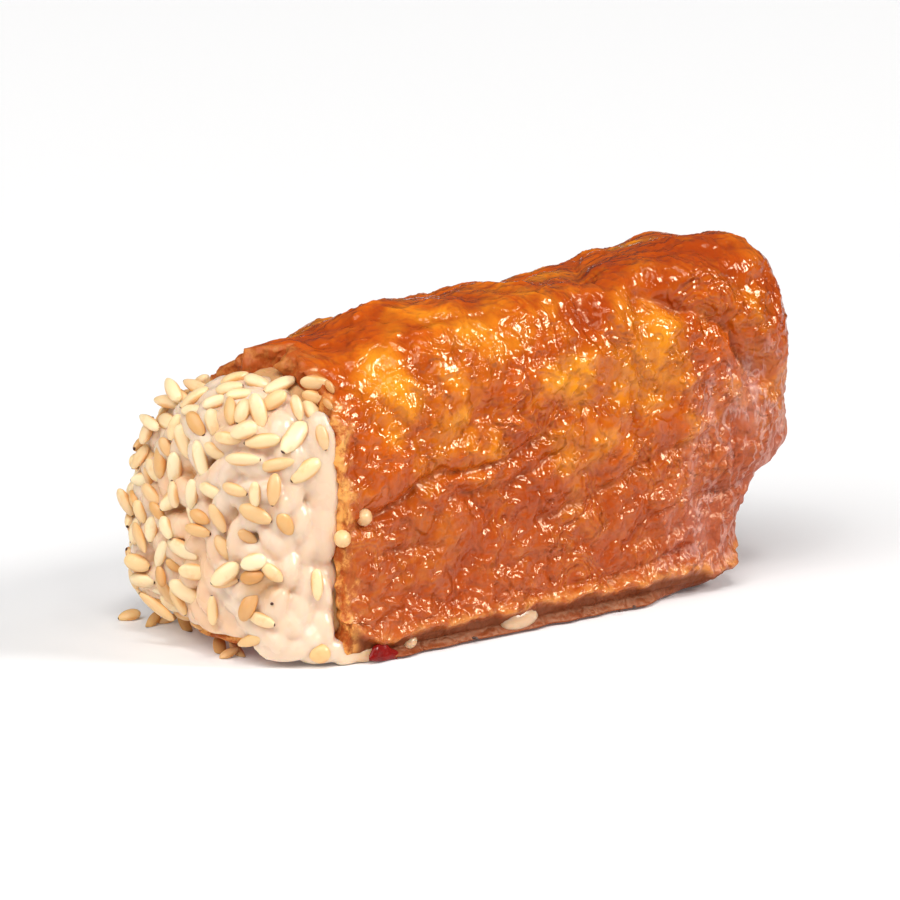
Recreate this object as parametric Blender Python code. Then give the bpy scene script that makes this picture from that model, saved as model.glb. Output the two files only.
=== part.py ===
"""Inari sushi: a simmered tofu pouch packed with vinegared rice.

Two solids: the fried tofu skin, a pouch open at its mouth (-X) and closed at its back (+X), and the
rice that fills it and swells out of the mouth in a blunt, lumpy end. The long axis is X, the seam edge
that overhangs the table is on the -Y side, and the part stands on the pouch's flat underside at Z = 0.
"""

import math

import bmesh
import bpy
import numpy as np

MM = 0.001

# --- driving dimensions -------------------------------------------------------------------------
SKIN_LENGTH = 62 * MM  # mouth rim to where the closed end starts to turn
END_DEPTH = 8 * MM  # how far the closed end reaches past that
SKIN_THICKNESS = 2.0 * MM
HALF_WIDTH = 16 * MM
MOUTH_HEIGHT = 34 * MM
FRONT_SWELL = 2.4 * MM  # how much the top rises behind the mouth
BACK_SWELL = 2.9 * MM  # and again towards the closed end
TONGUE_REACH = 9 * MM  # how far the underside runs out under the rice
TUCK = 7.6 * MM  # how far the foot of the closed end is drawn in
TUCK_FROM = 8 * MM
TUCK_TO = 18 * MM
LEAN = 3 * MM  # how far its top leans towards the mouth
LEAN_FROM = 24 * MM
LEAN_TO = 40 * MM
RICE_REACH = 10.5 * MM  # how far the rice stands out of the mouth
RICE_GAP = 0.35 * MM  # between the rice and the skin
DEEPEST_FOLD = 1.2 * MM  # where folds cross
LUMP_DEPTH = 0.45 * MM
LUMP_LENGTH = 13 * MM
GRAIN_RELIEF = 0.35 * MM
GRAIN_LENGTH = 5.5 * MM

# --- mesh density -------------------------------------------------------------------------------
AROUND = 52  # points round a section
ALONG = 36  # spans from the mouth to the closed end, on the outside
INSIDE_ALONG = 12
END_RINGS = 8
RICE_RINGS = 9
SEAM_CROWDING = 0.45  # 0 spaces the points round a section evenly, more draws them to the seam edge

# --- outlines across the pouch: (across, up) as shares of the half width and of the height -------
# They start at the seam edge, run up its side, over the top, down the far side and back under.
MOUTH_OUTLINE = (
    (-1.05, 0.060), (-1.00, 0.32), (-0.99, 0.60), (-0.88, 0.82), (-0.56, 0.96), (-0.15, 1.00),
    (0.28, 0.93), (0.66, 0.78), (0.91, 0.56), (1.00, 0.32), (0.96, 0.09), (0.78, 0.00),
    (0.20, 0.00), (-0.30, 0.00), (-0.76, 0.00), (-0.90, 0.010), (-0.98, 0.038),
)
BACK_OUTLINE = (
    (-1.08, 0.070), (-1.05, 0.32), (-1.07, 0.60), (-1.02, 0.88), (-0.74, 1.03), (-0.16, 1.01),
    (0.42, 0.965), (0.82, 0.84), (1.04, 0.60), (1.08, 0.32), (0.98, 0.09), (0.78, 0.00),
    (0.20, 0.00), (-0.30, 0.00), (-0.76, 0.00), (-0.91, 0.010), (-1.00, 0.042),
)

# --- the large folds ----------------------------------------------------------------------------
# Each is pressed in where the skin faces the given way, along a line of (a, b) points in millimetres:
# (x, z) on the sides and (x, y) on the top, (y, z) on the end. A negative depth is a raised fold.
SEAM_SIDE, FAR_SIDE, TOP, END = (0, -1, 0), (0, 1, 0), (0, 0, 1), (1, 0, 0)
FOLDS = (
    # facing, line, depth, half width
    (SEAM_SIDE, ((1, 15), (7, 17.1), (13, 19.5), (21, 20.3), (28, 22)), 1.0, 1.3),
    (SEAM_SIDE, ((15, 16.5), (24, 17.6), (31, 20)), 0.5, 1.1),
    (SEAM_SIDE, ((28, 12.5), (35, 14), (40, 15.7), (46, 17.9), (53, 19)), 0.6, 1.3),
    (SEAM_SIDE, ((37, 3.5), (43, 4.6), (50, 6)), 0.6, 1.2),
    (SEAM_SIDE, ((52, 11.5), (59, 12.3)), 0.5, 1.0),
    (SEAM_SIDE, ((34.5, 40), (37, 34), (40, 31)), 0.7, 1.5),
    (SEAM_SIDE, ((45, 36.8), (52, 34), (57, 30.8), (61, 25.5)), 1.0, 1.5),
    (SEAM_SIDE, ((48, 39), (56, 36), (65, 28)), -0.9, 2.4),
    (TOP, ((36, -14), (38, -2), (35, 12)), 0.8, 2.0),
    (TOP, ((12, 2), (22, 6), (30, 3)), 0.6, 2.0),
    (TOP, ((46, 8), (58, 5)), 0.7, 2.0),
    (FAR_SIDE, ((3, 19), (16, 16), (30, 20)), 0.8, 1.6),
    (FAR_SIDE, ((24, 11), (40, 13), (54, 10)), 0.7, 1.5),
    (FAR_SIDE, ((38, 27), (50, 24), (60, 28)), 0.8, 1.8),
    (END, ((-14, 22), (-3, 19), (9, 23)), 0.9, 1.8),
    (END, ((-8, 32), (2, 29), (12, 30)), 0.7, 1.8),
    (END, ((-10, 11), (4, 13), (13, 10)), 0.6, 1.6),
)


def ease(value, start, end):
    """0 before start, 1 after end, and a smooth rise between them."""
    t = np.clip((value - start) / (end - start), 0.0, 1.0)
    return t * t * (3 - 2 * t)


def closed_spline(points, steps=24):
    """A closed Catmull-Rom curve through the points, with that many steps on each span."""
    p = np.asarray(points, float)
    before, after, beyond = np.roll(p, 1, 0), np.roll(p, -1, 0), np.roll(p, -2, 0)
    t = np.linspace(0, 1, steps, endpoint=False)[:, None, None]
    curve = 0.5 * (
        2 * p
        + (after - before) * t
        + (2 * before - 5 * p + 4 * after - beyond) * t**2
        + (3 * p - before - 3 * after + beyond) * t**3
    )
    return curve.transpose(1, 0, 2).reshape(-1, 2)


def girth_shares():
    """Each point's place round a section, from 0 at the seam edge, crowded towards that edge."""
    t = np.linspace(0, 1, AROUND, endpoint=False)
    return t - SEAM_CROWDING * np.sin(2 * math.pi * t) / (2 * math.pi)


GIRTH = girth_shares()
TONGUE = ease(GIRTH, 0.73, 0.88) * (1 - ease(GIRTH, 0.89, 0.97))  # 1 where the tongue reaches furthest


def section(x, inset=0.0):
    """The pouch's outline across the long axis at x, as (y, z) points drawn in by inset all round."""
    share = ease(x, 0.0, 0.55 * SKIN_LENGTH)
    height = MOUTH_HEIGHT + FRONT_SWELL * ease(x, 0.06 * SKIN_LENGTH, 0.36 * SKIN_LENGTH)
    height += BACK_SWELL * ease(x, 0.55 * SKIN_LENGTH, 0.98 * SKIN_LENGTH)
    outline = (1 - share) * np.array(MOUTH_OUTLINE) + share * np.array(BACK_OUTLINE)
    curve = closed_spline(outline * (HALF_WIDTH, height))
    curve[:, 1] = np.maximum(curve[:, 1], 0)
    loop = np.vstack([curve, curve[:1]])
    run = np.concatenate([[0], np.cumsum(np.linalg.norm(np.diff(loop, axis=0), axis=1))])
    across, up = (np.interp(GIRTH * run[-1], run, loop[:, k]) for k in (0, 1))
    across *= 1 - inset / np.abs(across).max()
    up *= 1 - 2 * inset / up.max()
    return np.column_stack([across, up + inset])


def ring(x, points):
    """Points of a section placed at x, with the underside run out to the tongue at the mouth, and
    the foot and the top of the closed end drawn in."""
    tongue = TONGUE_REACH * TONGUE * (1 - ease(x, 0, 0.4 * SKIN_LENGTH))
    tuck = TUCK * (1 - ease(points[:, 1], TUCK_FROM, TUCK_TO)) * ease(x, 0.6 * SKIN_LENGTH, SKIN_LENGTH)
    lean = LEAN * ease(points[:, 1], LEAN_FROM, LEAN_TO) * ease(x, 0.7 * SKIN_LENGTH, SKIN_LENGTH)
    return np.column_stack([x - tongue - tuck - lean, points])


def wall_rings(inset, spans):
    """Rings of the pouch's wall from its mouth to its closed end, with the last drawn to a pole."""
    rings = [ring(x, section(x, inset)) for x in np.linspace(0, SKIN_LENGTH, spans + 1)]
    last = section(SKIN_LENGTH, inset)
    centre = np.array([0.0, 0.5 * last[:, 1].max()])
    for step in range(1, END_RINGS + 1):
        turn = 0.5 * math.pi * step / END_RINGS
        shrink = max(math.cos(turn), 0.0) ** 0.34 if step < END_RINGS else 0.0
        reach = (END_DEPTH - inset) * math.sin(turn) ** 0.8
        rings.append(ring(SKIN_LENGTH + reach, centre + (last - centre) * shrink))
    return np.array(rings)


def normals_of(rings):
    """Outward unit normals of a grid of rings, from its neighbours along and round. A pole at the
    first ring faces -X, and one at the last ring +X."""
    along = np.gradient(rings, axis=0)
    round_it = np.roll(rings, -1, 1) - np.roll(rings, 1, 1)
    normals = np.cross(along, round_it)
    length = np.linalg.norm(normals, axis=2, keepdims=True)
    at_pole = np.zeros_like(rings)
    at_pole[0, :, 0], at_pole[-1, :, 0] = -1, 1
    return np.where(length > 1e-12, normals / np.maximum(length, 1e-12), at_pole)


def line_distance(points, line):
    """Distance of each 2-D point from a line of straight stretches."""
    nearest = np.full(points.shape[:-1], np.inf)
    for start, end in zip(line, line[1:]):
        a, span = np.array(start) * MM, (np.array(end) - np.array(start)) * MM
        t = np.clip(((points - a) @ span) / (span @ span), 0, 1)
        nearest = np.minimum(nearest, np.linalg.norm(points - a - t[..., None] * span, axis=-1))
    return nearest


def lumps(points, length):
    """A smooth field from -1 to 1 that swells and sinks about once in that length."""
    x, y, z = np.moveaxis(points, -1, 0) * (2 * math.pi / length)
    first = np.sin(x + 0.7 * np.sin(0.8 * z + 1.0)) * np.cos(0.9 * y + 0.6 * z)
    second = np.sin(0.63 * z + 1.3 * y - 0.5 * x + 2.0) * np.cos(0.47 * x + 0.71 * z)
    return -0.5 * (first + second)


def folded(rings):
    """The wall's outside with its lumps and large folds pressed in. The rim and the underside, which
    lies flat on the table, keep their shape."""
    normals = normals_of(rings)
    pressed = np.zeros(rings.shape[:2])
    for facing, line, fold_depth, half_width in FOLDS:
        axes = [k for k in range(3) if not facing[k]]
        towards = np.clip(normals @ np.array(facing), 0, 1) ** 0.7
        near = np.exp(-((line_distance(rings[..., axes], line) / (half_width * MM)) ** 2))
        pressed += fold_depth * MM * near * towards
    depth = LUMP_DEPTH * lumps(rings, LUMP_LENGTH) - np.minimum(pressed, DEEPEST_FOLD)
    lifted = ease(rings[..., 2], 0.3 * MM, 4 * MM)
    behind_rim = ease(rings[..., 0], 0, 3 * MM)
    return rings + (depth * lifted * behind_rim)[..., None] * normals


def rice_rings():
    """Rings of the rice from its blunt end back into the pouch. Past the mouth it spreads over the
    far side's rim, and it bulges a little beyond the tongue that it rests on."""
    inset = SKIN_THICKNESS + RICE_GAP
    far_side = ease(GIRTH, 0.42, 0.56) * (1 - ease(GIRTH, 0.68, 0.76))
    mouth = section(0.0, inset * (1 - 0.75 * far_side))
    centre = np.array([0.0, 0.46 * MOUTH_HEIGHT])
    end = [ring(-RICE_GAP, section(0.0, inset))]
    for step in range(1, RICE_RINGS + 1):
        turn = 0.5 * math.pi * step / RICE_RINGS
        shrink = max(math.cos(turn), 0.0) ** 0.5 if step < RICE_RINGS else 0.0
        reach = RICE_GAP + (RICE_REACH - RICE_GAP) * math.sin(turn) ** 0.85
        laid = TONGUE_REACH * TONGUE * (1 - math.sin(turn))
        points = centre + (mouth - centre) * shrink
        end.append(np.column_stack([-laid - reach, points]))
    rings = np.array(end[:0:-1])
    relief = GRAIN_RELIEF * lumps(rings, GRAIN_LENGTH) * ease(-rings[..., 0], 0.5 * MM, 3 * MM)
    relief *= ease(rings[..., 2], inset, 2 * inset)
    rings = rings - relief[..., None] * normals_of(rings)
    return np.concatenate([rings, np.array(end[:1]), wall_rings(inset, INSIDE_ALONG)])


def add_rings(mesh, rings):
    """Adds each ring's vertices, the quads between neighbours, and one vertex where a ring is a pole."""
    made = []
    for points in rings:
        pole = np.ptp(points, axis=0).max() < 1e-9
        made.append([mesh.verts.new(p) for p in (points[:1] if pole else points)])
    for first, second in zip(made, made[1:]):
        join_rings(mesh, first, second)
    return made


def join_rings(mesh, first, second):
    """Faces between two rings, of which one may be a single vertex."""
    count = max(len(first), len(second))
    for i in range(count):
        corners = (first[i % len(first)], second[i % len(second)])
        more = (second[(i + 1) % len(second)], first[(i + 1) % len(first)])
        mesh.faces.new(dict.fromkeys(corners + more))


def finish(mesh, name, colour, roughness):
    """Makes the object and its material from a closed mesh."""
    bmesh.ops.recalc_face_normals(mesh, faces=mesh.faces)
    data = bpy.data.meshes.new(name)
    mesh.to_mesh(data)
    mesh.free()
    data.shade_smooth()
    material = bpy.data.materials.new(name)
    material.use_nodes = True
    surface = material.node_tree.nodes["Principled BSDF"]
    surface.inputs["Base Color"].default_value = (*colour, 1)
    surface.inputs["Roughness"].default_value = roughness
    data.materials.append(material)
    made = bpy.data.objects.new(name, data)
    bpy.context.scene.collection.objects.link(made)
    return made


def tofu_skin():
    mesh = bmesh.new()
    outside = add_rings(mesh, folded(wall_rings(0.0, ALONG)))
    inside = add_rings(mesh, wall_rings(SKIN_THICKNESS, INSIDE_ALONG))
    join_rings(mesh, outside[0], inside[0])
    return finish(mesh, "tofu_skin", (0.62, 0.22, 0.05), 0.35)


def rice_filling():
    mesh = bmesh.new()
    add_rings(mesh, rice_rings())
    return finish(mesh, "rice_filling", (0.88, 0.80, 0.66), 0.5)


def centre_on_origin(pieces):
    """Moves the pieces together, so that the origin is under the middle of their box."""
    corners = np.array([v.co for piece in pieces for v in piece.data.vertices])
    low, high = corners.min(axis=0), corners.max(axis=0)
    shift = (*(-0.5 * (low + high))[:2], -low[2])
    for piece in pieces:
        for vertex in piece.data.vertices:
            vertex.co = [value + move for value, move in zip(vertex.co, shift)]


for leftover in list(bpy.data.objects):
    bpy.data.objects.remove(leftover, do_unlink=True)
centre_on_origin([tofu_skin(), rice_filling()])
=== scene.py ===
"""Inari sushi, dressed: the crumpled, glazed tofu skin, the fused rice grains over a smaller core, the
sesame seeds on them and a fleck of pickled ginger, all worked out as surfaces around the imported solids.

Lengths in the shape functions are millimetres, in the pouch's own frame: x runs from the mouth's rim
to the closed end, y across it with the seam edge at -y, and z up from the table. A mesh is in metres.
"""

import math

import bpy
import numpy as np
from bpy.props import FloatProperty, FloatVectorProperty, IntProperty, PointerProperty
from bpy.types import Operator, Panel, PropertyGroup
from mathutils import Euler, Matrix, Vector
from mathutils.bvhtree import BVHTree


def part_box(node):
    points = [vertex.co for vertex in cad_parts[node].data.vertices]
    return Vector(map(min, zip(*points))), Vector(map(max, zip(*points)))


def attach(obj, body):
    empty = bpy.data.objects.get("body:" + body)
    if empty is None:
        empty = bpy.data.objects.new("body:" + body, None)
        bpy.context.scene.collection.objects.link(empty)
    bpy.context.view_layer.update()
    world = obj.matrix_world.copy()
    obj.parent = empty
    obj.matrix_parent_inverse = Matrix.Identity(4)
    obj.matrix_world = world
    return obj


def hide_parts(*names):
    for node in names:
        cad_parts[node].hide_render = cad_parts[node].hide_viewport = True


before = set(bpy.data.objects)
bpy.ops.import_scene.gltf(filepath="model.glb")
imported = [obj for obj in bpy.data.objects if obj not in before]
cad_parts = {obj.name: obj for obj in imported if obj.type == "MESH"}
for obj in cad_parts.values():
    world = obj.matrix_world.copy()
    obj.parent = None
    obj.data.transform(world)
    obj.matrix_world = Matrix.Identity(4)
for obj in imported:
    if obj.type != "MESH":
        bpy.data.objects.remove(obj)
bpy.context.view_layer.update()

bl_info = {
    "name": "Inari Sushi",
    "version": (1, 0, 0),
    "blender": (4, 5, 0),
    "location": "View3D > Sidebar > Inari",
    "description": "A simmered tofu pouch of rice topped with sesame, dressed around its packed solids",
    "category": "Add Mesh",
}

MM = 0.001

# --- the pouch's driving dimensions, as its solids have them --------------------------------------
SKIN_LENGTH = 62.0
END_DEPTH, END_HALF_HEIGHT = 8.0, 18.0
END_REACH_POWER, END_SHRINK_POWER = 0.8, 0.34
HALF_WIDTH = 16.0
MOUTH_HEIGHT = 34.0
FRONT_SWELL = 2.4
BACK_SWELL = 2.9
TONGUE_REACH = 9.0
TUCK, TUCK_FROM, TUCK_TO = 7.6, 8.0, 18.0
LEAN, LEAN_FROM, LEAN_TO = 3.0, 24.0, 40.0
RICE_INSET = 2.35
DEEPEST_FOLD = 1.5
RICE_REACH = 10.5
RICE_GAP = 0.35
HEAP_CENTRE, HEAP_ON_TONGUE = 0.46, 0.78
CORE_INSET = 2.3
LUMP_DEPTH, LUMP_LENGTH = 0.45, 13.0

MOUTH_OUTLINE = (
    (-1.05, 0.060), (-1.00, 0.32), (-0.99, 0.60), (-0.88, 0.82), (-0.56, 0.96), (-0.15, 1.00),
    (0.28, 0.93), (0.66, 0.78), (0.91, 0.56), (1.00, 0.32), (0.96, 0.09), (0.78, 0.00),
    (0.20, 0.00), (-0.30, 0.00), (-0.76, 0.00), (-0.90, 0.010), (-0.98, 0.038),
)
BACK_OUTLINE = (
    (-1.08, 0.070), (-1.05, 0.32), (-1.07, 0.60), (-1.02, 0.88), (-0.74, 1.03), (-0.16, 1.01),
    (0.42, 0.965), (0.82, 0.84), (1.04, 0.60), (1.08, 0.32), (0.98, 0.09), (0.78, 0.00),
    (0.20, 0.00), (-0.30, 0.00), (-0.76, 0.00), (-0.91, 0.010), (-1.00, 0.042),
)

# The mouth's rim stands at x = 0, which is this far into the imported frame, in millimetres.
MOUTH_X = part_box("tofu_skin")[0].x / MM + TONGUE_REACH

# The listed seeds are placed as seen from the front left, where the camera stands too: its turn
# and height angle, how far off it is and the point it looks at, in the imported frame and millimetres.
VIEW_AZIMUTH = math.radians(-39.52)
VIEW_ELEVATION = math.radians(11.97)
VIEW_DISTANCE = 475.5
VIEW_AIM = (-1.4, 0.4, 17.85)

# --- the large folds: facing, line of (a, b) points, depth, half width ----------------------------
# (a, b) is (x, z) on the sides and (x, y) on the top, (y, z) on the end. A negative depth is raised.
SEAM_SIDE, FAR_SIDE, TOP, END = (0, -1, 0), (0, 1, 0), (0, 0, 1), (1, 0, 0)
FOLDS = (
    (SEAM_SIDE, ((1, 15), (7, 17.1), (13, 19.5), (21, 20.3), (28, 22)), 0.75, 1.2),
    (SEAM_SIDE, ((15, 16.5), (24, 17.6), (31, 20)), 0.5, 1.1),
    (SEAM_SIDE, ((4, 12), (14, 11.7)), 0.35, 0.8),
    (SEAM_SIDE, ((28, 12.5), (35, 14), (40, 15.7), (46, 17.9), (53, 19)), 0.6, 1.3),
    (SEAM_SIDE, ((37, 3.5), (43, 4.6), (50, 6)), 0.6, 1.2),
    (SEAM_SIDE, ((43, 8), (49.5, 8.6)), 0.4, 0.9),
    (SEAM_SIDE, ((52, 11.5), (59, 12.3)), 0.5, 1.0),
    (SEAM_SIDE, ((34.5, 40), (37, 34), (40, 31)), 0.7, 1.5),
    (SEAM_SIDE, ((45, 36.8), (52, 34), (57, 30.8), (61, 25.5)), 1.0, 1.5),
    (SEAM_SIDE, ((48, 39), (56, 36), (65, 28)), -0.9, 2.4),
    (TOP, ((36, -14), (43, -5), (54, 8)), 0.45, 1.5),
    (TOP, ((12, 2), (22, 6), (30, 3)), 0.6, 2.0),
    (TOP, ((46, 8), (58, 5)), 0.7, 2.0),
    (FAR_SIDE, ((3, 19), (16, 16), (30, 20)), 0.8, 1.6),
    (FAR_SIDE, ((24, 11), (40, 13), (54, 10)), 0.7, 1.5),
    (FAR_SIDE, ((38, 27), (50, 24), (60, 28)), 0.8, 1.8),
    (END, ((-14, 22), (-3, 19), (9, 23)), 0.9, 1.8),
    (END, ((-8, 32), (2, 29), (12, 30)), 0.7, 1.8),
    (END, ((-10, 11), (4, 13), (13, 10)), 0.6, 1.6),
)

# --- how the skin has settled and frayed ----------------------------------------------------------
# Swells along the top, as x, height and half length, and how far the closed end leans on and draws in.
TOP_SWELLS = ((12.0, 1.5, 6.0), (30.0, 0.7, 8.0), (62.0, 0.8, 6.0))
END_LEANS_ON, FOOT_DRAWS_IN = 1.5, 1.3

# The seam edge's flap: how high it hangs, how much higher at the mouth, its waves as length, height
# and seed, how far it stands out, and the skin's foot and hem below it. The hem, with its painted
# shade, stands in for the shadow on the table.
LIP_RISE, LIP_RISE_AT_MOUTH = 0.55, 2.0
LIP_WAVES = ((8.0, 0.8, 61), (4.0, 0.9, 62), (1.6, 0.3, 64))
LIP_OUT, FOOT_OUT, HEM_OUT = 0.75, 0.25, 2.5
HEM_PLACE, HEM_HALF_WIDTH = 3.3, 1.2

# The mouth's rim: its wear as length, depth and seed, and on top, as y, reach and half width, the lobe
# that curls out, the notch beside it and the lobe that hangs from its inner edge.
RIM_WEAR = ((3.0, 0.5, 71), (1.2, 0.35, 72))
RIM_FADES = 4.0
OUTER_LOBE = (-0.9, 2.0, 1.6)
NOTCH = (-3.7, 1.5, 0.5)
HANGING_LOBE = (-0.9, 1.8, 1.5)

# How high the tongue curls up towards its edge, and how much higher across from the seam.
TONGUE_CURL, FAR_CURL = 2.0, 1.1

# Fine wrinkles lie in bands of near-parallel ridges: the way across them, their spacing, their
# height, and the seed that says where they gather.
WRINKLE_SETS = (
    ((1.00, 0.25, 0.20), 1.10, 0.26, 11),
    ((0.78, 0.30, -0.62), 0.95, 0.22, 12),
    ((0.62, -0.35, 0.78), 1.20, 0.24, 13),
    ((0.20, 0.60, 1.00), 1.15, 0.20, 14),
)

# Patches where the skin is thin and the rice glows through, as (x, y, z, radius).
AMBER_PATCHES = (
    (44, -15, 29, 7.5), (55, -13, 32, 3.5), (8, -12, 29, 5.0), (22, -12, 34, 5.0), (33, -15, 29, 4.5),
    (16, -15, 25, 3.0), (62, -14, 24, 2.5),
)

# Patches where the colour is browner: in places a browner tone, and painted shade on the hood over
# the closed end, which turns away from the light, and by the long fold.
DARK_PATCHES = (
    (46, -8, 39, 5.0), (56, -10, 38, 7.5), (64, -12, 32, 6.5), (50, -14, 36, 3.0), (36, -15, 35, 4.0),
    (24, -16, 22, 2.2), (66, -10, 14, 6.0),
)


# === numbers: curves, noise and falloffs ==========================================================

def ease(value, start, end):
    """0 before start, 1 after end, and a smooth rise, 3t^2 - 2t^3, between them."""
    t = np.clip((value - start) / (end - start), 0.0, 1.0)
    return t * t * (3 - 2 * t)


def hump(value, middle, width):
    """1 at the middle, falling off on both sides as a bell of that half width."""
    return np.exp(-(((value - middle) / width) ** 2))


def closed_spline(points, steps=24):
    """Closed Catmull-Rom curves through rows of points, with that many steps on each span."""
    before, after, beyond = (np.roll(points, k, -2) for k in (1, -1, -2))
    t = np.linspace(0, 1, steps, endpoint=False)[:, None]
    p, before, after, beyond = (a[..., None, :] for a in (points, before, after, beyond))
    curve = 0.5 * (
        2 * p
        + (after - before) * t
        + (2 * before - 5 * p + 4 * after - beyond) * t**2
        + (3 * p - before - 3 * after + beyond) * t**3
    )
    return curve.reshape(*points.shape[:-2], -1, points.shape[-1])


def scrambled(cells, seed):
    """A whole number for each cell of a lattice, well mixed: multiply, shift and exclusive-or."""
    h = cells[..., 0] * 73856093 ^ cells[..., 1] * 19349663 ^ cells[..., 2] * 83492791
    h = (h ^ (seed * 2654435761)) & 0xFFFFFFFF
    for _ in range(2):
        h = ((h ^ (h >> 15)) * 739982445) & 0xFFFFFFFF
    return h ^ (h >> 14)


def noise(points, length, seed):
    """Gradient noise, about -1 to 1, that rises and falls once in that length. Each lattice corner has
    a slope, and the corners' planes blend by the quintic 6t^5 - 15t^4 + 10t^3."""
    p = points / length
    cell = np.floor(p).astype(np.int64)
    part = p - cell
    fade = part**3 * (part * (part * 6 - 15) + 10)
    total = np.zeros(points.shape[:-1])
    for corner in np.ndindex(2, 2, 2):
        h = scrambled(cell + corner, seed)
        slope = np.stack([((h >> shift) & 255) / 127.5 - 1 for shift in (0, 8, 16)], -1)
        weight = np.prod(np.where(corner, fade, 1 - fade), axis=-1)
        total += weight * ((part - corner) * slope).sum(-1)
    return 1.7 * total


def layered_noise(points, layers):
    """Noises added up, each given as its length, height and seed."""
    return sum(height * noise(points, length, seed) for length, height, seed in layers)


def drift(points, length, seed):
    """Three noises as a vector, to bend other patterns with."""
    return np.stack([noise(points, length, seed + k) for k in (101, 202, 303)], -1)


def lumps(points, length):
    """The smooth field from -1 to 1 that the solids swell and sink by."""
    x, y, z = np.moveaxis(points, -1, 0) * (2 * math.pi / length)
    first = np.sin(x + 0.7 * np.sin(0.8 * z + 1.0)) * np.cos(0.9 * y + 0.6 * z)
    second = np.sin(0.63 * z + 1.3 * y - 0.5 * x + 2.0) * np.cos(0.47 * x + 0.71 * z)
    return -0.5 * (first + second)


def line_distance(points, line):
    """Distance of each 2-D point from a line of straight stretches."""
    nearest = np.full(points.shape[:-1], np.inf)
    for start, end in zip(line, line[1:]):
        a, span = np.array(start, float), np.subtract(end, start).astype(float)
        t = np.clip(((points - a) @ span) / (span @ span), 0, 1)
        nearest = np.minimum(nearest, np.linalg.norm(points - a - t[..., None] * span, axis=-1))
    return nearest


def unit(vectors):
    """The vectors at length 1."""
    return vectors / np.maximum(np.linalg.norm(vectors, axis=-1, keepdims=True), 1e-9)


def normals_of(rings):
    """Unit normals of a grid of rings, from its neighbours along and round. They face outward where the
    rings run from the mouth towards the closed end."""
    along = np.gradient(rings, axis=0)
    round_it = np.roll(rings, -1, 1) - np.roll(rings, 1, 1)
    return unit(np.cross(along, round_it))


# === meshes =======================================================================================

def tube_faces(rows, columns):
    """Quads between neighbouring rings of a tube, numbered ring by ring, and triangles to a pole before
    the first ring and one after the last. The poles are the first and the last point."""
    row, column = np.meshgrid(np.arange(rows - 1), np.arange(columns), indexing="ij")
    beside = (column + 1) % columns
    corner = [1 + row * columns + column, 1 + (row + 1) * columns + column]
    corner += [1 + (row + 1) * columns + beside, 1 + row * columns + beside]
    quads = np.stack(corner, -1).reshape(-1, 4)
    near = np.arange(columns)
    beside = (near + 1) % columns
    last = 1 + (rows - 1) * columns
    first_fan = np.stack([np.zeros(columns, int), 1 + near, 1 + beside], -1)
    last_fan = np.stack([np.full(columns, last + columns), last + beside, last + near], -1)
    return quads, np.concatenate([first_fan, last_fan])


def tube_points(rings, first_pole, last_pole):
    """The points that tube_faces numbers: pole, rings, pole."""
    return np.vstack([first_pole, rings.reshape(-1, 3), last_pole])


def repeated(faces, points_each, copies):
    """The faces of one shape for each of its copies, whose points follow each other."""
    shift = (np.arange(copies) * points_each)[:, None, None]
    return (faces[None] + shift).reshape(-1, faces.shape[1])


def signed_volume(points, quads, triangles):
    """A sixth of the sum of each triangle's triple product, which is positive when faces point out."""
    tris = np.concatenate([quads[:, :3], quads[:, [0, 2, 3]], triangles])
    a, b, c = (points[tris[:, k]] for k in range(3))
    return (a * np.cross(b, c)).sum() / 6


def make_mesh(name, points, quads, triangles, values=None):
    """A smooth, closed mesh with its faces outward, from points in the pouch's frame in millimetres.
    Values are a number at each point, by attribute name."""
    if signed_volume(points, quads, triangles) < 0:
        quads, triangles = quads[:, ::-1], triangles[:, ::-1]
    mesh = bpy.data.meshes.new(name)
    mesh.vertices.add(len(points))
    placed = (points + (MOUTH_X, 0, 0)) * MM
    mesh.vertices.foreach_set("co", placed.astype(np.float32).ravel())
    corners = np.concatenate([quads.ravel(), triangles.ravel()]).astype(np.int32)
    sizes = np.concatenate([np.full(len(quads), 4), np.full(len(triangles), 3)])
    starts = np.concatenate([[0], np.cumsum(sizes)[:-1]]).astype(np.int32)
    mesh.loops.add(len(corners))
    mesh.loops.foreach_set("vertex_index", corners)
    mesh.polygons.add(len(sizes))
    mesh.polygons.foreach_set("loop_start", starts)
    mesh.update(calc_edges=True)
    mesh.validate()
    mesh.shade_smooth()
    set_values(mesh, values or {})
    return mesh


def set_values(mesh, values):
    """Stores a number at each point of the mesh for each name."""
    for key, value in values.items():
        layer = mesh.attributes.new(key, "FLOAT", "POINT")
        layer.data.foreach_set("value", np.asarray(value, np.float32).ravel())


def make_piece(mesh, material, nodes):
    """Links the mesh as a piece that rides on the root body, stands for CAD nodes and has a slot."""
    mesh.materials.append(material)
    piece = bpy.data.objects.new(mesh.name, mesh)
    bpy.context.scene.collection.objects.link(piece)
    if nodes:
        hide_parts(*nodes)
    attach(piece, "root")
    return piece


def copies_mesh(name, made, sides, rings, values=None):
    """A mesh of many copies of one turned shape, from an array of copies by points."""
    copies, each = made.shape[:2]
    faces = [repeated(part, each, copies) for part in tube_faces(rings, sides)]
    return make_mesh(name, made.reshape(-1, 3), *faces, values)


def points_of(mesh):
    """A mesh's points in the pouch's frame, in millimetres."""
    flat = np.empty(len(mesh.vertices) * 3, np.float32)
    mesh.vertices.foreach_get("co", flat)
    return flat.reshape(-1, 3) / MM - (MOUTH_X, 0, 0)


# === the pouch's wall =============================================================================

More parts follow.
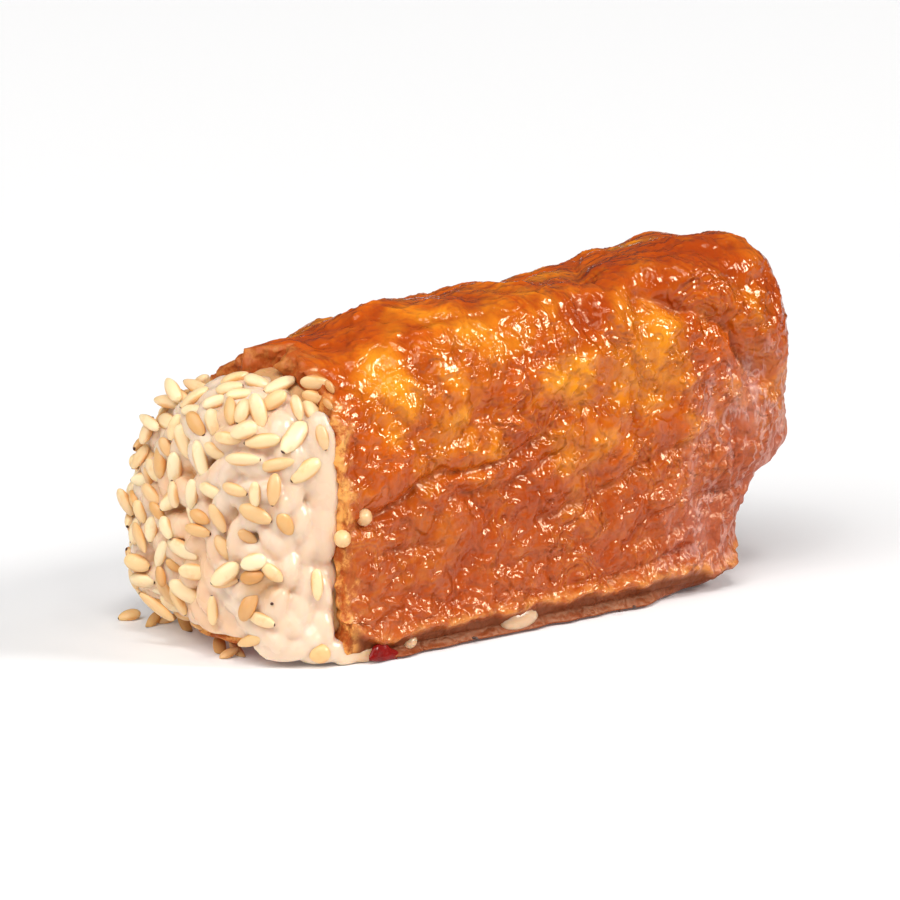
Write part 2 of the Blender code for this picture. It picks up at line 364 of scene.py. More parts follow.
def girth_shares(count):
    """Places round a section from 0 at the seam edge, up its side, over the top, down the far side and
    back under. They lie densest on the seam side and the top, and thin out on the underside."""
    t = np.linspace(0, 1, 2001)
    density = 1.0 - 0.32 * ease(t, 0.46, 0.52) - 0.46 * ease(t, 0.75, 0.78) + 0.6 * ease(t, 0.955, 0.975)
    run = np.concatenate([[0], np.cumsum(density[1:])])
    return np.interp(np.linspace(0, run[-1], count, endpoint=False), run, t)


def tongue_share(shares):
    """1 where the underside runs furthest out under the rice, 0 elsewhere."""
    return ease(shares, 0.73, 0.88) * (1 - ease(shares, 0.89, 0.97))


def sections(x, inset, shares):
    """The pouch's outlines across the long axis at each x, as rows of (y, z), drawn in by inset."""
    x = np.asarray(x, float)[:, None]
    share = ease(x, 0.0, 0.55 * SKIN_LENGTH)[..., None]
    height = MOUTH_HEIGHT + FRONT_SWELL * ease(x, 0.06 * SKIN_LENGTH, 0.36 * SKIN_LENGTH)
    height = height + BACK_SWELL * ease(x, 0.55 * SKIN_LENGTH, 0.98 * SKIN_LENGTH)
    outline = (1 - share) * np.array(MOUTH_OUTLINE) + share * np.array(BACK_OUTLINE)
    outline = outline * np.stack([np.full_like(height, HALF_WIDTH), height], -1)
    curve = closed_spline(outline)
    curve[..., 1] = np.maximum(curve[..., 1], 0)
    loop = np.concatenate([curve, curve[:, :1]], 1)
    step = np.linalg.norm(np.diff(loop, axis=1), axis=-1)
    run = np.concatenate([np.zeros((len(x), 1)), np.cumsum(step, axis=1)], 1)
    rows = [[np.interp(shares * r[-1], r, line[:, k]) for k in (0, 1)] for r, line in zip(run, loop)]
    across, up = np.moveaxis(np.array(rows), 1, 0)
    across = across * (1 - inset / np.abs(across).max(axis=1, keepdims=True))
    up = up * (1 - 2 * inset / up.max(axis=1, keepdims=True)) + inset
    return np.stack([across, up], -1)


def drawn_in(x, points, shares):
    """Outlines placed at each x, with the underside run out to the tongue at the mouth, and the foot and
    the top of the closed end drawn in."""
    x = np.asarray(x, float)[:, None]
    height = points[..., 1]
    tongue = TONGUE_REACH * tongue_share(shares) * (1 - ease(x, 0, 0.4 * SKIN_LENGTH))
    tuck = TUCK * (1 - ease(height, TUCK_FROM, TUCK_TO)) * ease(x, 0.6 * SKIN_LENGTH, SKIN_LENGTH)
    lean = LEAN * ease(height, LEAN_FROM, LEAN_TO) * ease(x, 0.7 * SKIN_LENGTH, SKIN_LENGTH)
    return np.concatenate([(x - tongue - tuck - lean)[..., None], points], -1)


def end_turns(count):
    """Angles of the closed end's rings, evenly spaced along its profile, which reaches by sin^0.8 and
    shrinks by cos^0.34."""
    turn = np.linspace(0, 0.5 * math.pi, 1500)
    reach = END_DEPTH * np.sin(turn) ** END_REACH_POWER
    height = END_HALF_HEIGHT * np.maximum(np.cos(turn), 0) ** END_SHRINK_POWER
    profile = np.stack([reach, height], -1)
    run = np.concatenate([[0], np.cumsum(np.linalg.norm(np.diff(profile, axis=0), axis=1))])
    return np.interp(np.linspace(0, run[-1], count + 2)[1:-1], run, turn)


def wall(inset, shares, stations, turns):
    """Rings of the pouch's wall from the mouth to just short of the closed end's pole."""
    last = sections([SKIN_LENGTH], inset, shares)[0]
    centre = np.array([0.0, 0.5 * last[:, 1].max()])
    shrink = (np.cos(turns) ** END_SHRINK_POWER)[:, None, None]
    reach = (END_DEPTH - np.mean(inset)) * np.sin(turns) ** END_REACH_POWER
    points = np.concatenate([sections(stations, inset, shares), centre + (last - centre) * shrink])
    return drawn_in(np.concatenate([stations, SKIN_LENGTH + reach]), points, shares)


# === the skin =====================================================================================

def fold_relief(rings, normals):
    """Depth of the large folds, as a bell across each line where the skin faces the right way, and how
    near each point is to the bottom of one, from 0 to 1."""
    bent = rings + 0.55 * drift(rings, 3.2, 31)
    depth = np.zeros(rings.shape[:-1])
    bottom = np.zeros(rings.shape[:-1])
    for facing, line, fold_depth, half_width in FOLDS:
        axes = [k for k in range(3) if not facing[k]]
        towards = np.clip(normals @ np.array(facing), 0, 1) ** 0.7
        away = line_distance(bent[..., axes], line)
        near = hump(away, 0, half_width)
        cleft = hump(away, 0, 0.35 * half_width) if fold_depth > 0 else 0
        depth += fold_depth * (near + 0.45 * cleft) * towards
        if fold_depth > 0:
            bottom = np.maximum(bottom, (fold_depth ** 0.5) * cleft * towards)
    return np.minimum(depth, DEEPEST_FOLD), np.clip(bottom, 0, 1)


def wrinkle_relief(points):
    """Bands of fine ridges. Each set is a wave of a bent distance along its own way, sharpened by the
    power 1.7, and shows only where its own slow noise is high."""
    height = np.zeros(points.shape[:-1])
    bend = layered_noise(points, ((3.6, 1.5, 41), (1.5, 0.55, 42)))
    for way, spacing, ridge, seed in WRINKLE_SETS:
        along = points @ np.array(way) + bend + 0.8 * noise(points, 6.0, seed + 40)
        wave = (0.5 + 0.5 * np.cos(2 * math.pi * along / spacing)) ** 1.7
        gathered = ease(noise(points, 4.5, seed), -0.12, 0.30)
        broken = ease(noise(points, 1.7, seed + 20), -0.6, 0.05)
        height += ridge * wave * gathered * broken
    return height


def stretched(points, way, factor):
    """Points squeezed along a way by that factor, so that a pattern on them comes out longer there."""
    way = unit(np.array(way, float))
    return points - (1 - factor) * (points @ way)[..., None] * way


def crumple(points, calm):
    """Height of the skin's crumples in millimetres, and a share from 0 to 1 of how far into the creases
    between them each point lies, which the colour darkens as painted shade. The absolute value of a noise
    gives round swells between sharp creases, and taken away from a limit it gives sharp crests. The largest
    are swells, those of middle size crest on the upper half and swell along the folds below it, and the foot
    of the closed end is streaked. Calm, below 1, flattens all but the largest."""
    bent = points + 1.6 * drift(points, 9.0, 51) + 0.45 * drift(points, 2.6, 52)
    below = 1 - ease(points[..., 2] + 3 * noise(points, 7.0, 58), 15, 25)
    large = np.abs(noise(bent, 8.5, 53))
    upper = np.abs(noise(stretched(bent, (-0.35, 0.5, 0.85), 0.55), 2.6, 54))
    lower = np.abs(noise(stretched(bent, (0.92, 0.0, 0.38), 0.5), 2.7, 59))
    small = np.abs(noise(stretched(bent, (0.75, 0.0, 0.6), 0.7), 1.35, 55))
    streak = np.abs(noise(stretched(bent, (0.25, 0.0, 1.0), 0.35), 1.9, 60))
    lively = ease(noise(points, 6.5, 56), -0.4, 0.35)
    crests = 0.42 - 1.25 * np.minimum(upper, 0.42)
    swells = 1.1 * np.minimum(lower, 0.5) - 0.1
    height = 1.15 * np.minimum(large, 0.5) - 0.25
    height = height + calm * (crests * (1 - below) + swells * below) * (0.45 + 0.55 * lively)
    height = height + calm * (0.2 - 0.5 * np.minimum(small, 0.4)) * (0.3 + 0.7 * lively)
    height = height + calm * dry_share(points) * (0.45 * np.minimum(streak, 0.4) - 0.1)
    crease = hump(lower, 0, 0.07) * below * 0.8 + hump(large, 0, 0.045) * 0.6
    crease = crease + ease(upper, 0.36, 0.62) * (1 - below) * 0.5
    return height - 0.2, np.clip(crease, 0, 1)


def settled(base):
    """The pouch's plain shape, settled a little: fuller on top at three places, and at the closed end
    leaning on over a foot that is drawn in further."""
    x, _, z = np.moveaxis(base, -1, 0)
    top = ease(z, 24, 32)
    moved = base.copy()
    moved[..., 2] += top * sum(height * hump(x, place, reach) for place, height, reach in TOP_SWELLS)
    shift = END_LEANS_ON * ease(z, 27, 36) - FOOT_DRAWS_IN * (1 - ease(z, 3, 20))
    moved[..., 0] += shift * ease(x, 46, 60)
    return moved


def ragged_lip(rings, shares):
    """The seam edge hangs as a thin, uneven flap, lifted off the table and waving along x. The skin
    under it is set back a little, comes straight down and ends in a flat hem on the table, further out.
    That skin and its hem get painted shade, and the hem stands in for the shadow on the table.
    Returns the moved rings, and where the flap's edge and the skin below it are, each from 0 to 1."""
    girth = 2 * (HALF_WIDTH + MOUTH_HEIGHT) + 20
    run = np.where(shares > 0.5, shares - 1, shares) * girth
    up_side, in_under = run >= 0, run < 0
    x = rings[..., 0]
    line = np.stack([x, np.zeros_like(x), np.zeros_like(x)], -1)
    flap = np.where(up_side, hump(run, 0, 2.0), 0) + np.where(in_under, 1 - ease(-run, 0.4, 1.5), 0)
    rise = (LIP_RISE + LIP_RISE_AT_MOUTH * (1 - ease(x, 0, 5))) * (1 - 1.8 * ease(x, 46, 60))
    up = flap * (rise + layered_noise(line, LIP_WAVES) * hump(run, 0, 1.3))
    hem = np.where(in_under, hump(-run, HEM_PLACE, HEM_HALF_WIDTH), 0) * ease(x, 1, 6)
    hem = hem * (1 - ease(x, 42, 54))
    foot = np.where(in_under, ease(-run, 0.3, 1.5) * (1 - ease(-run, 3, 9)), 0)
    # The skin below the flap gets painted shade, lighter towards the table.
    below = np.where(in_under, ease(-run, 0.15, 0.6) * (1 - 0.35 * ease(-run, 1.6, 3.4)), 0)
    edge = np.where(up_side, hump(run, 0, 0.8), hump(run, 0, 0.45))
    out = edge * (LIP_OUT + 0.4 * noise(line, 3.1, 63)) + foot * (FOOT_OUT + 0.35 * noise(line, 4.0, 65))
    moved = rings.copy()
    moved[..., 2] = np.maximum(moved[..., 2] + up, 0) * (1 - 0.5 * hem)
    moved[..., 1] -= out + hem * (HEM_OUT + 0.6 * noise(line, 5.0, 66))
    return moved, edge * np.ones_like(x), below * ease(x, -3, 0)


def ragged_rim(points, station, shares):
    """How far the dried rim of the mouth is worn back or stands out, most on top, where a lobe curls out
    beside a notch, fading from station to station. The tongue under the rice is worn shorter."""
    rim = np.broadcast_to(points[:1], points.shape)
    worn = layered_noise(rim, RIM_WEAR) * (1 + 0.8 * ease(rim[..., 2], 24, 30))
    short = 0.3 * tongue_share(shares) - 2.2 * hump(shares, 0.79, 0.05)
    top = ease(rim[..., 2], 26, 31)
    lobe, notch = (
        reach * hump(rim[..., 1], place, half_width) * top for place, reach, half_width in (OUTER_LOBE, NOTCH)
    )
    return (worn + short - lobe + notch) * (1 - ease(station, 0, RIM_FADES))


def lifted_tongue(points):
    """Points with the underside's tongue curled up off the table towards its edge."""
    moved = points.copy()
    curl = TONGUE_CURL + FAR_CURL * ease(points[..., 1], -2, 9)
    moved[..., 2] += curl * ease(-points[..., 0], 1.2, 5.5) * (1 - ease(points[..., 2], 3, 6))
    return moved


def hanging_lobe(points):
    """Points with the inner edge of the top rim hung lower in one lobe, near its middle."""
    x, y, z = np.moveaxis(points, -1, 0)
    place, drop, half_width = HANGING_LOBE
    inner_edge = ease(z, 25, 30) * (1 - ease(z, 33.4, 34.6)) * (1 - ease(x, 0, 3))
    moved = points.copy()
    moved[..., 2] -= drop * hump(y, place, half_width) * inner_edge
    return moved


def outer_skin(look, shares):
    """The crumpled outside as rings from the mouth to the closed end, and the numbers that its colour
    reads at each point, by name."""
    stations = np.linspace(0, SKIN_LENGTH, look.rows)
    base = settled(wall(0.0, shares, stations, end_turns(look.end_rows)))
    station = np.concatenate([stations, np.full(look.end_rows, SKIN_LENGTH)])[:, None]
    normals = normals_of(base)
    x, y, z = np.moveaxis(base, -1, 0)

    lifted = ease(z, 0.3, 4.0)
    behind_rim = ease(station, 0, 3.0)
    fold, bottom = fold_relief(base, normals)
    calm = 1 - 0.6 * ease(normals[..., 2], 0.15, 0.8)
    calm = calm * (1 - 0.45 * ease(x, 58, 66))
    height, crease = crumple(base, calm)
    wrinkles = wrinkle_relief(base) * calm
    depth = look.crumple
    swell = LUMP_DEPTH * lumps(base, LUMP_LENGTH) * behind_rim
    rise = swell - fold * behind_rim + depth * height * (0.35 + 0.65 * behind_rim) + depth * wrinkles
    rings = base + (rise * lifted)[..., None] * normals
    rings, edge, below = ragged_lip(rings, np.broadcast_to(shares, base.shape[:2]))
    rings[..., 0] += ragged_rim(base, station, shares)

    notch_shade = hump(y, -3.6, 0.7) * hump(station, 0, 1.6) * ease(z, 28, 31)
    return lifted_tongue(rings), {
        # These values also steer painted light: shade at the bottom of the folds and in the notch, in the
        # creases, in the crumples' hollows, on the lower side, on the hood and below the lip, and shade and
        # sheen at the foot of the closed end.
        "fold": np.maximum(bottom * behind_rim, notch_shade),
        "crease": crease * lifted,
        "height": ease(height, -0.45, 0.5),
        "upward": ease(normals[..., 2], 0.35, 0.85),
        "amber": amber_share(base),
        "dark": patch_share(base, DARK_PATCHES, 96),
        "low": 1 - ease(z + 2.5 * noise(base, 8.0, 81), 10, 25),
        "lip": edge,
        "cut": 1 - ease(station + 1.3 * noise(base, 1.6, 82), -0.2, 2.0),
        "dry": dry_share(base),
        "under": below,
    }


# What the colour reads on the rim and the inside, where it isn't 0.
INSIDE_VALUES = {"height": 0.5, "low": 0.5, "cut": 1.0}
INNER_ROWS, INNER_END_ROWS, RIM_ROWS = 12, 6, 6


def inner_skin(look, shares):
    """The smooth inside as rings, as far in as the rim is thick, and thinner under the rice."""
    thinner = ease(shares, 0.74, 0.80) * (1 - ease(shares, 0.965, 0.995))
    stations = np.linspace(0, SKIN_LENGTH, INNER_ROWS)
    rings = wall(look.rim / MM * (1 - 0.52 * thinner), shares, stations, end_turns(INNER_END_ROWS))
    station = np.concatenate([stations, np.full(INNER_END_ROWS, SKIN_LENGTH)])[:, None]
    rings[..., 0] += ragged_rim(rings, station, shares)
    return lifted_tongue(rings)


def spongy_rim(outer, inner):
    """Rings between the outside's first ring and the inside's, bulging out by a sine and pitted by
    noises, most on top."""
    share = (np.arange(1, RIM_ROWS + 1) / (RIM_ROWS + 1))[:, None, None]
    rings = outer[:1] * (1 - share) + inner[:1] * share
    rough = np.sin(math.pi * share[..., 0]) * (1 + 0.9 * ease(rings[..., 2], 22, 28))
    rings[..., 0] -= rough * (0.3 + layered_noise(rings, ((1.5, 0.6, 73), (0.7, 0.3, 74))))
    rings[..., 2] += rough * 0.3 * noise(rings, 1.0, 75) * ease(rings[..., 2], 0.5, 3)
    return rings


def with_poles(grid):
    """A grid's numbers in the order of tube_points, with the mean of the end rings at the poles."""
    return np.concatenate([[grid[0].mean()], grid.ravel(), [grid[-1].mean()]])


def skin_surface(look):
    """The whole pouch as one closed tube: from the pole of its closed end over the crumpled outside to
    the mouth, across the spongy rim and back along the smooth inside to an inner pole."""
    shares = girth_shares(look.columns)
    outer, numbers = outer_skin(look, shares)
    inner = inner_skin(look, shares)
    rim = spongy_rim(outer, inner)
    inside = np.concatenate([hanging_lobe(rim), hanging_lobe(inner)])
    rings = np.concatenate([outer[::-1], inside])
    points = tube_points(rings, outer[-1].mean(axis=0), rings[-1].mean(axis=0))
    values = {"top": with_poles(ease(rings[..., 2], 26, 31))}
    for name, grid in numbers.items():
        blank = np.full(inside.shape[:2], INSIDE_VALUES.get(name, 0.0))
        values[name] = with_poles(np.concatenate([grid[::-1], blank]))
    return make_mesh("tofu_skin_dressed", points, *tube_faces(len(rings), len(shares)), values)


def patch_share(points, patches, seed):
    """1 inside the named round patches and 0 outside them, with noisy edges."""
    bent = points + 2.2 * drift(points, 5.0, seed)
    share = np.zeros(points.shape[:-1])
    for x, y, z, radius in patches:
        away = np.linalg.norm(bent - (x, y, z), axis=-1)
        share = np.maximum(share, 1 - ease(away, 0.45 * radius, 1.25 * radius))
    return share


def amber_share(points):
    """Where the skin is thin and yellower: the named patches, and a slow noise elsewhere."""
    share = 0.75 * ease(noise(points, 7.0, 92) + 0.35 * noise(points, 2.6, 93), 0.10, 0.55)
    return np.maximum(share, patch_share(points, AMBER_PATCHES, 91)) * ease(points[..., 2], 4, 14)


def dry_share(points):
    """The dull, streaked part of the skin towards the foot of the closed end, with an uneven edge. The
    colour gives it painted shade, darker and pinker, and painted sheen in pale streaks and threads.
    """
    uneven = noise(points * (1.0, 1.0, 0.35), 3.0, 94)
    along = ease(points[..., 0] - 0.2 * points[..., 2] + 5.0 * uneven, 41, 55)
    return along * (1 - ease(points[..., 2] + 3.0 * uneven, 25, 31))


# === the rice =====================================================================================

def dome(turns, shares, sunk=0.0):
    """The rice's blunt end: the mouth's outline shrinks to its centre by cos^0.5 while it reaches out
    by sin^0.85, and at its foot it is laid out over the tongue. Sunk draws it in, less at the rim."""
    far_side = ease(shares, 0.42, 0.56) * (1 - ease(shares, 0.68, 0.76))
    mouth = sections([0.0], RICE_INSET * (1 - 0.55 * far_side), shares)[0]
    centre = np.array([0.0, HEAP_CENTRE * MOUTH_HEIGHT])
    sine = np.sin(turns)[:, None]
    sunk_share = sunk / HALF_WIDTH * np.minimum(2.2 * sine, 1)
    shrink = np.maximum(np.cos(turns), 0)[:, None] ** 0.5 * (1 - sunk_share)
    points = centre + (mouth - centre) * shrink[..., None]
    reach = RICE_GAP + (RICE_REACH - RICE_GAP - sunk) * sine**0.85
    on_tongue = HEAP_ON_TONGUE * TONGUE_REACH * tongue_share(shares) * (1 - sine) * (1 - 0.12 * sunk)
    x = -on_tongue - reach
    return np.concatenate([np.broadcast_to(x[..., None], (*points.shape[:2], 1)), points], -1)


def hollow_share(points):
    """1 in the hollow between the grains low beside the near rim, 0 away from it."""
    return hump(points[..., 1], -11.7, 1.6) * hump(points[..., 2], 9.6, 2.0)


def rice_core(look):
    """A smaller body of rice, whose end is packed with shallow swells between the grains' places, and
    which fills the pouch behind them."""
    shares = np.linspace(0, 1, 120, endpoint=False)
    turns = np.linspace(0, 0.5 * math.pi, 46)[1:-1]
    end = dome(turns, shares, look.core_sunk / MM)[::-1]
    swell = 0.6 * np.abs(noise(end, 2.6, 21)) - 0.2 - 2.2 * hollow_share(end)
    end = end + (swell * ease(end[..., 2], 1.5, 3.5))[..., None] * -normals_of(end[::-1])[::-1]
    back = wall(CORE_INSET, shares, np.linspace(0.5, SKIN_LENGTH, 14), end_turns(6))
    rings = np.concatenate([end, back])
    points = tube_points(rings, end[0].mean(axis=0), back[-1].mean(axis=0))
    ones = np.ones(len(points))
    # The core shows only in the gaps between the grains, so it has the clefts' painted shade all over.
    values = {"depth": 0.9 * ones, "far": ones}
    return make_mesh("rice_core", points, *tube_faces(len(rings), len(shares)), values)


def spread(count, rng, closest, crowd, faces_out):
    """Scattered places on the dome: from many random ones, weighted by area, by crowd and by the way
    they face, each taken in turn if it is at least closest away from those before it. Returns points and
    outward normals."""
    grid = dome(np.linspace(0.03, 1.565, 160), np.linspace(0, 1, 360, endpoint=False))
    area = np.linalg.norm(np.gradient(grid, axis=0), axis=-1)
    area = area * np.linalg.norm(np.gradient(grid, axis=1), axis=-1)
    places, facing = grid.reshape(-1, 3), -normals_of(grid).reshape(-1, 3)
    weight = area.ravel() * crowd(places) * faces_out(facing, places)
    tries = min(count * 60, 24000)
    order = rng.choice(len(places), size=tries, replace=True, p=weight / weight.sum())
    kept = []
    for k in order:
        if all(np.linalg.norm(places[k] - places[j]) >= closest for j in kept):
            kept.append(k)
        if len(kept) == count:
            break
    return places[kept], facing[kept]


def turned_profile(half_width, around, along):
    """A unit shape turned about x, whose half width is a function of u from -1 to 1, with its rings
    crowded towards the ends. Returns the ring points between two poles."""
    turn = np.linspace(0, 2 * math.pi, around, endpoint=False)
    u = np.sin(np.linspace(-0.5, 0.5, along + 2)[1:-1] * math.pi)
    ring = np.stack([np.cos(turn), np.sin(turn)], -1)
    rings = np.concatenate(
        [np.broadcast_to(u[:, None, None], (along, around, 1)), half_width(u)[:, None, None] * ring], -1
    )
    return tube_points(rings, (-1, 0, 0), (1, 0, 0))


def grain_shape(around, along):
    """A unit rice grain along x: round in section, and blunt at both ends by (1 - |u|^2.7)^0.5."""
    return turned_profile(lambda u: (1 - np.abs(u) ** 2.7) ** 0.5, around, along)


def turned(shape, sizes, ways, normals):
    """Copies of a unit shape with its x along each way and its z along each normal, at those half
    sizes, as one array of copies by points."""
    side = unit(np.cross(normals, ways))
    ways = unit(np.cross(side, normals))
    axes = np.stack([ways, side, normals], 1)
    return np.einsum("pk,ck,ckj->cpj", shape, sizes, axes)


# Grains given one by one: the middle, the way it faces, its own way, and its half length, width and depth.
PLACED_GRAINS = (
    (-1.3, -13.5, 19.9, -0.7, -0.7, 0.0, 0.0, 0.05, 1.0, 4.3, 1.85, 1.4),
    (-1.5, -13.4, 15.2, -0.7, -0.7, 0.0, 0.0, 0.0, 1.0, 4.2, 1.85, 1.4),
    (-1.2, -13.2, 24.6, -0.7, -0.7, 0.1, 0.0, 0.15, 1.0, 4.0, 1.65, 1.3),
    (-4.6, -12.0, 22.6, -0.9, -0.4, 0.0, 0.0, 0.1, 1.0, 3.2, 1.60, 1.4),
    (-5.4, -11.4, 15.3, -0.9, -0.4, 0.0, 0.0, 0.1, 1.0, 3.2, 1.70, 1.5),
    (-8.3, -8.9, 19.0, -1.0, -0.2, 0.0, 0.0, 0.3, 1.0, 3.0, 1.50, 1.3),
    (-8.6, -8.0, 13.0, -1.0, -0.2, 0.0, 0.0, -0.2, 1.0, 2.8, 1.60, 1.4),
    (-8.8, -4.5, 16.0, -1.0, 0.0, 0.0, 0.0, 0.8, 0.6, 3.0, 1.50, 1.3),
    (-2.0, -14.0, 8.2, -0.7, -0.7, 0.0, 0.0, 0.3, 1.0, 2.4, 1.20, 1.1),
    (-2.2, -14.2, 4.6, -0.7, -0.7, 0.3, 0.3, 0.6, 0.8, 2.7, 1.40, 1.3),
    (-2.4, -14.4, 1.7, -0.6, -0.8, 0.2, 0.8, -0.6, 0.1, 2.8, 1.45, 1.2),
    (-5.6, -12.4, 5.6, -0.8, -0.5, 0.3, 0.2, 0.8, 0.5, 2.6, 1.50, 1.3),
    (-5.2, -12.9, 2.2, -0.7, -0.6, 0.3, 0.6, -0.7, 0.2, 2.9, 1.50, 1.3),
    (-7.8, -9.6, 4.6, -0.9, -0.3, 0.4, 0.2, 0.9, 0.1, 2.8, 1.50, 1.3),
    (-7.0, -10.8, 1.9, -0.8, -0.5, 0.3, 0.5, -0.8, 0.1, 2.8, 1.45, 1.3),
    (-8.4, -6.4, 4.0, -0.9, -0.2, 0.4, 0.1, 1.0, 0.1, 2.8, 1.50, 1.3),
    (-9.0, -7.2, 7.4, -1.0, -0.1, 0.2, 0.1, 0.9, 0.4, 2.8, 1.50, 1.3),
    (-7.2, -8.6, 3.2, -0.9, -0.3, 0.4, 0.3, 0.9, 0.1, 2.8, 1.60, 1.5),
    (-7.0, -11.0, 3.6, -0.9, -0.3, 0.4, 0.3, 0.9, 0.1, 2.8, 1.60, 1.5),
    (-3.8, -13.0, 3.6, -0.9, -0.3, 0.4, 0.3, 0.9, 0.1, 2.8, 1.60, 1.5),
    (0.8, -15.6, 0.9, 0, -1, 0.3, 1.0, 0.0, 0.1, 2.2, 1.05, 0.9),
    (3.4, -16.2, 1.0, 0, -1, 0.2, 1.0, 0.0, 0.15, 2.5, 1.05, 0.9),
    (8.4, -16.7, 1.3, 0, -1, 0.2, 1.0, 0.0, 0.5, 1.1, 0.70, 0.7),
    (24.4, -16.9, 1.55, 0, -1, 0.2, 1.0, 0.1, 0.14, 2.9, 1.35, 0.9),
)

# Pale grains that stick to the top, as (x, y), and each one's normal, way and half size.
TOP_GRAINS = ((18.2, 9.0), (22.4, 6.0))
TOP_GRAIN_LIES = ((0.0, 0.3, 1.0), (1.0, 0.15, 0.1), (1.7, 0.8, 0.55))
GRAIN_SEAT = 0.3

# Layers of the grains on the dome: how far sunk, closest apart in grain widths, and their share.
GRAIN_LAYERS = ((1.9, 0.92, 0.45), (0.75, 0.98, 0.55))
GRAIN_SIDES, GRAIN_RINGS = 14, 9


def layered_grains(look, rng):
    """Grains on the dome, layer by layer, lengthwise up and down beside the near rim and any way
    elsewhere: their places, normals, ways and half sizes."""
    width = look.grain_width / MM
    layers = []
    for sunk, closest, share in GRAIN_LAYERS:
        places, normals = spread(
            int(look.grains * share), rng, width * closest, lambda p: 1 - hollow_share(p),
            lambda n, p: p[:, 2] > 1.0,
        )
        layers.append((places - normals * sunk, normals))
    places, normals = (np.vstack(part) for part in zip(*layers))
    count = len(places)
    upright = ease(-places[:, 1], 7, 12)[:, None] * ease(places[:, 0], -8, -5)[:, None]
    ways = unit(rng.normal(size=(count, 3))) * (1 - 0.9 * upright) + np.array([0.1, 0.0, 1.0]) * upright * 2
    normals = unit(normals + 0.2 * rng.normal(size=(count, 3)))
    half = np.column_stack([
        look.grain_length / MM * rng.uniform(0.42, 0.56, count),
        width * rng.uniform(0.46, 0.60, count),
        width * rng.uniform(0.42, 0.54, count),
    ])
    return places, normals, ways, half


def grains_mesh(look, rng, skin_tree):
    """The layered grains, those listed along the rim, over the foot and below the lip, and the few
    on top, each a little bent by the square of u. They sink a little under the top rim, and stay above
    the tongue and the table."""
    more = np.array(PLACED_GRAINS)
    by_hand = (more[:, :3], unit(more[:, 3:6]), more[:, 6:9], more[:, 9:12])
    seats = seated(TOP_GRAINS, skin_tree)
    on_top = (seats, *(np.tile(part, (len(seats), 1)) for part in TOP_GRAIN_LIES))
    groups = (layered_grains(look, rng), by_hand, on_top)
    places, normals, ways, half = (np.vstack(part) for part in zip(*groups))
    count = len(places)
    shape = grain_shape(GRAIN_SIDES, GRAIN_RINGS)
    made = turned(shape, half, ways, normals)
    bend = rng.uniform(0.05, 0.5, count)[:, None] * shape[:, 0] ** 2
    made -= bend[..., None] * normals[:, None, :]
    made += places[:, None, :]
    made[..., 2] -= ease(made[..., 2], 27, 33) * (1 - ease(made[..., 0], 5, 10))
    made[..., 2] = np.maximum(made[..., 2], foot_of_rice(made))
    return copies_mesh("rice_grains", made, GRAIN_SIDES, GRAIN_RINGS)


def foot_of_rice(points):
    """The height below which no rice hangs: the tongue's upper face, and the table near the near rim."""
    tongue_top = 2.9 + FAR_CURL * ease(points[..., 1], -2, 9)
    return 0.05 + tongue_top * ease(points[..., 1], -12.5, -9.0) * ease(-points[..., 0], 0.0, 3.0)


def seated(places, skin_tree):
    """Points on the skin straight below each (x, y), in the pouch's frame."""
    seats = []
    for x, y in places:
        start = Vector((x + MOUTH_X, y, 60)) * MM
        hit = skin_tree.ray_cast(start, Vector((0, 0, -1)))[0]
        if hit is None:
            raise RuntimeError("no skin below a grain")
        seats.append(np.array(hit) / MM - (MOUTH_X, 0, 0) + (0, 0, GRAIN_SEAT))
    return np.array(seats)


def tree_of(name):
    """A tree of the named piece's faces, to cast rays on."""
    return BVHTree.FromObject(bpy.data.objects[name], bpy.context.evaluated_depsgraph_get())


def fused(mesh, voxel, passes):
    """Sticky grains run together: the closed shapes are joined through a voxel remesh, and smoothing
    fills the clefts between them."""
    holder = bpy.data.objects.new("fusing", mesh)
    bpy.context.scene.collection.objects.link(holder)
    remesh = holder.modifiers.new("join", "REMESH")
    remesh.mode = "VOXEL"
    remesh.voxel_size = voxel
    remesh.use_smooth_shade = True
    soften = holder.modifiers.new("soften", "SMOOTH")
    soften.factor = 0.5
    soften.iterations = passes
    bpy.context.view_layer.update()
    graph = bpy.context.evaluated_depsgraph_get()
    made = bpy.data.meshes.new_from_object(holder.evaluated_get(graph))
    name = mesh.name
    bpy.data.objects.remove(holder)
    bpy.data.meshes.remove(mesh)
    made.name = name
    made.shade_smooth()
    return made


def depth_below_dome(points, batch=4000):
    """How far each point lies under the dome's smooth surface, in millimetres, from the nearest of a
    grid of its points, worked out a batch at a time."""
    grid = dome(np.linspace(0.02, 1.55, 60), np.linspace(0, 1, 150, endpoint=False))
    flat, facing = grid.reshape(-1, 3), -normals_of(grid).reshape(-1, 3)
    nearest = np.empty(len(points), int)
    for start in range(0, len(points), batch):
        part = points[start:start + batch]
        gap = (part**2).sum(1)[:, None] - 2 * part @ flat.T + (flat**2).sum(1)
        nearest[start:start + batch] = gap.argmin(1)
    return -((points - flat[nearest]) * facing[nearest]).sum(1)


def grain_values(points):
    """What the colour of the grains reads, each from 0 to 1: a share of painted shade, which grows with how
    deep in a cleft a point is, is as strong in the hollow and about half as strong on the grains below the
    lip, and how far a point is from the near rim."""
    x, y, z = np.moveaxis(points, -1, 0)
    depth = 0.95 * ease(depth_below_dome(points), 0.3, 1.6) * (1 - ease(x, 3, 6))
    below_lip = 0.55 * ease(x, -0.5, 2.0) * (1 - ease(z, 3, 6))
    depth = np.maximum(np.maximum(depth, 0.9 * hollow_share(points)), below_lip)
    return {"depth": depth, "far": ease(y, -11, -5)}


# === the sesame seeds =============================================================================

def seed_shape(around, along):
    """A unit sesame seed along x: a teardrop, widest behind its middle, whose half width is
    (1 + u)^0.5 (1 - u)^0.62, so that it is round at u = -1 and blunter than a point at u = 1."""
    return turned_profile(lambda u: (1 + u) ** 0.5 * (1 - u) ** 0.62, around, along)
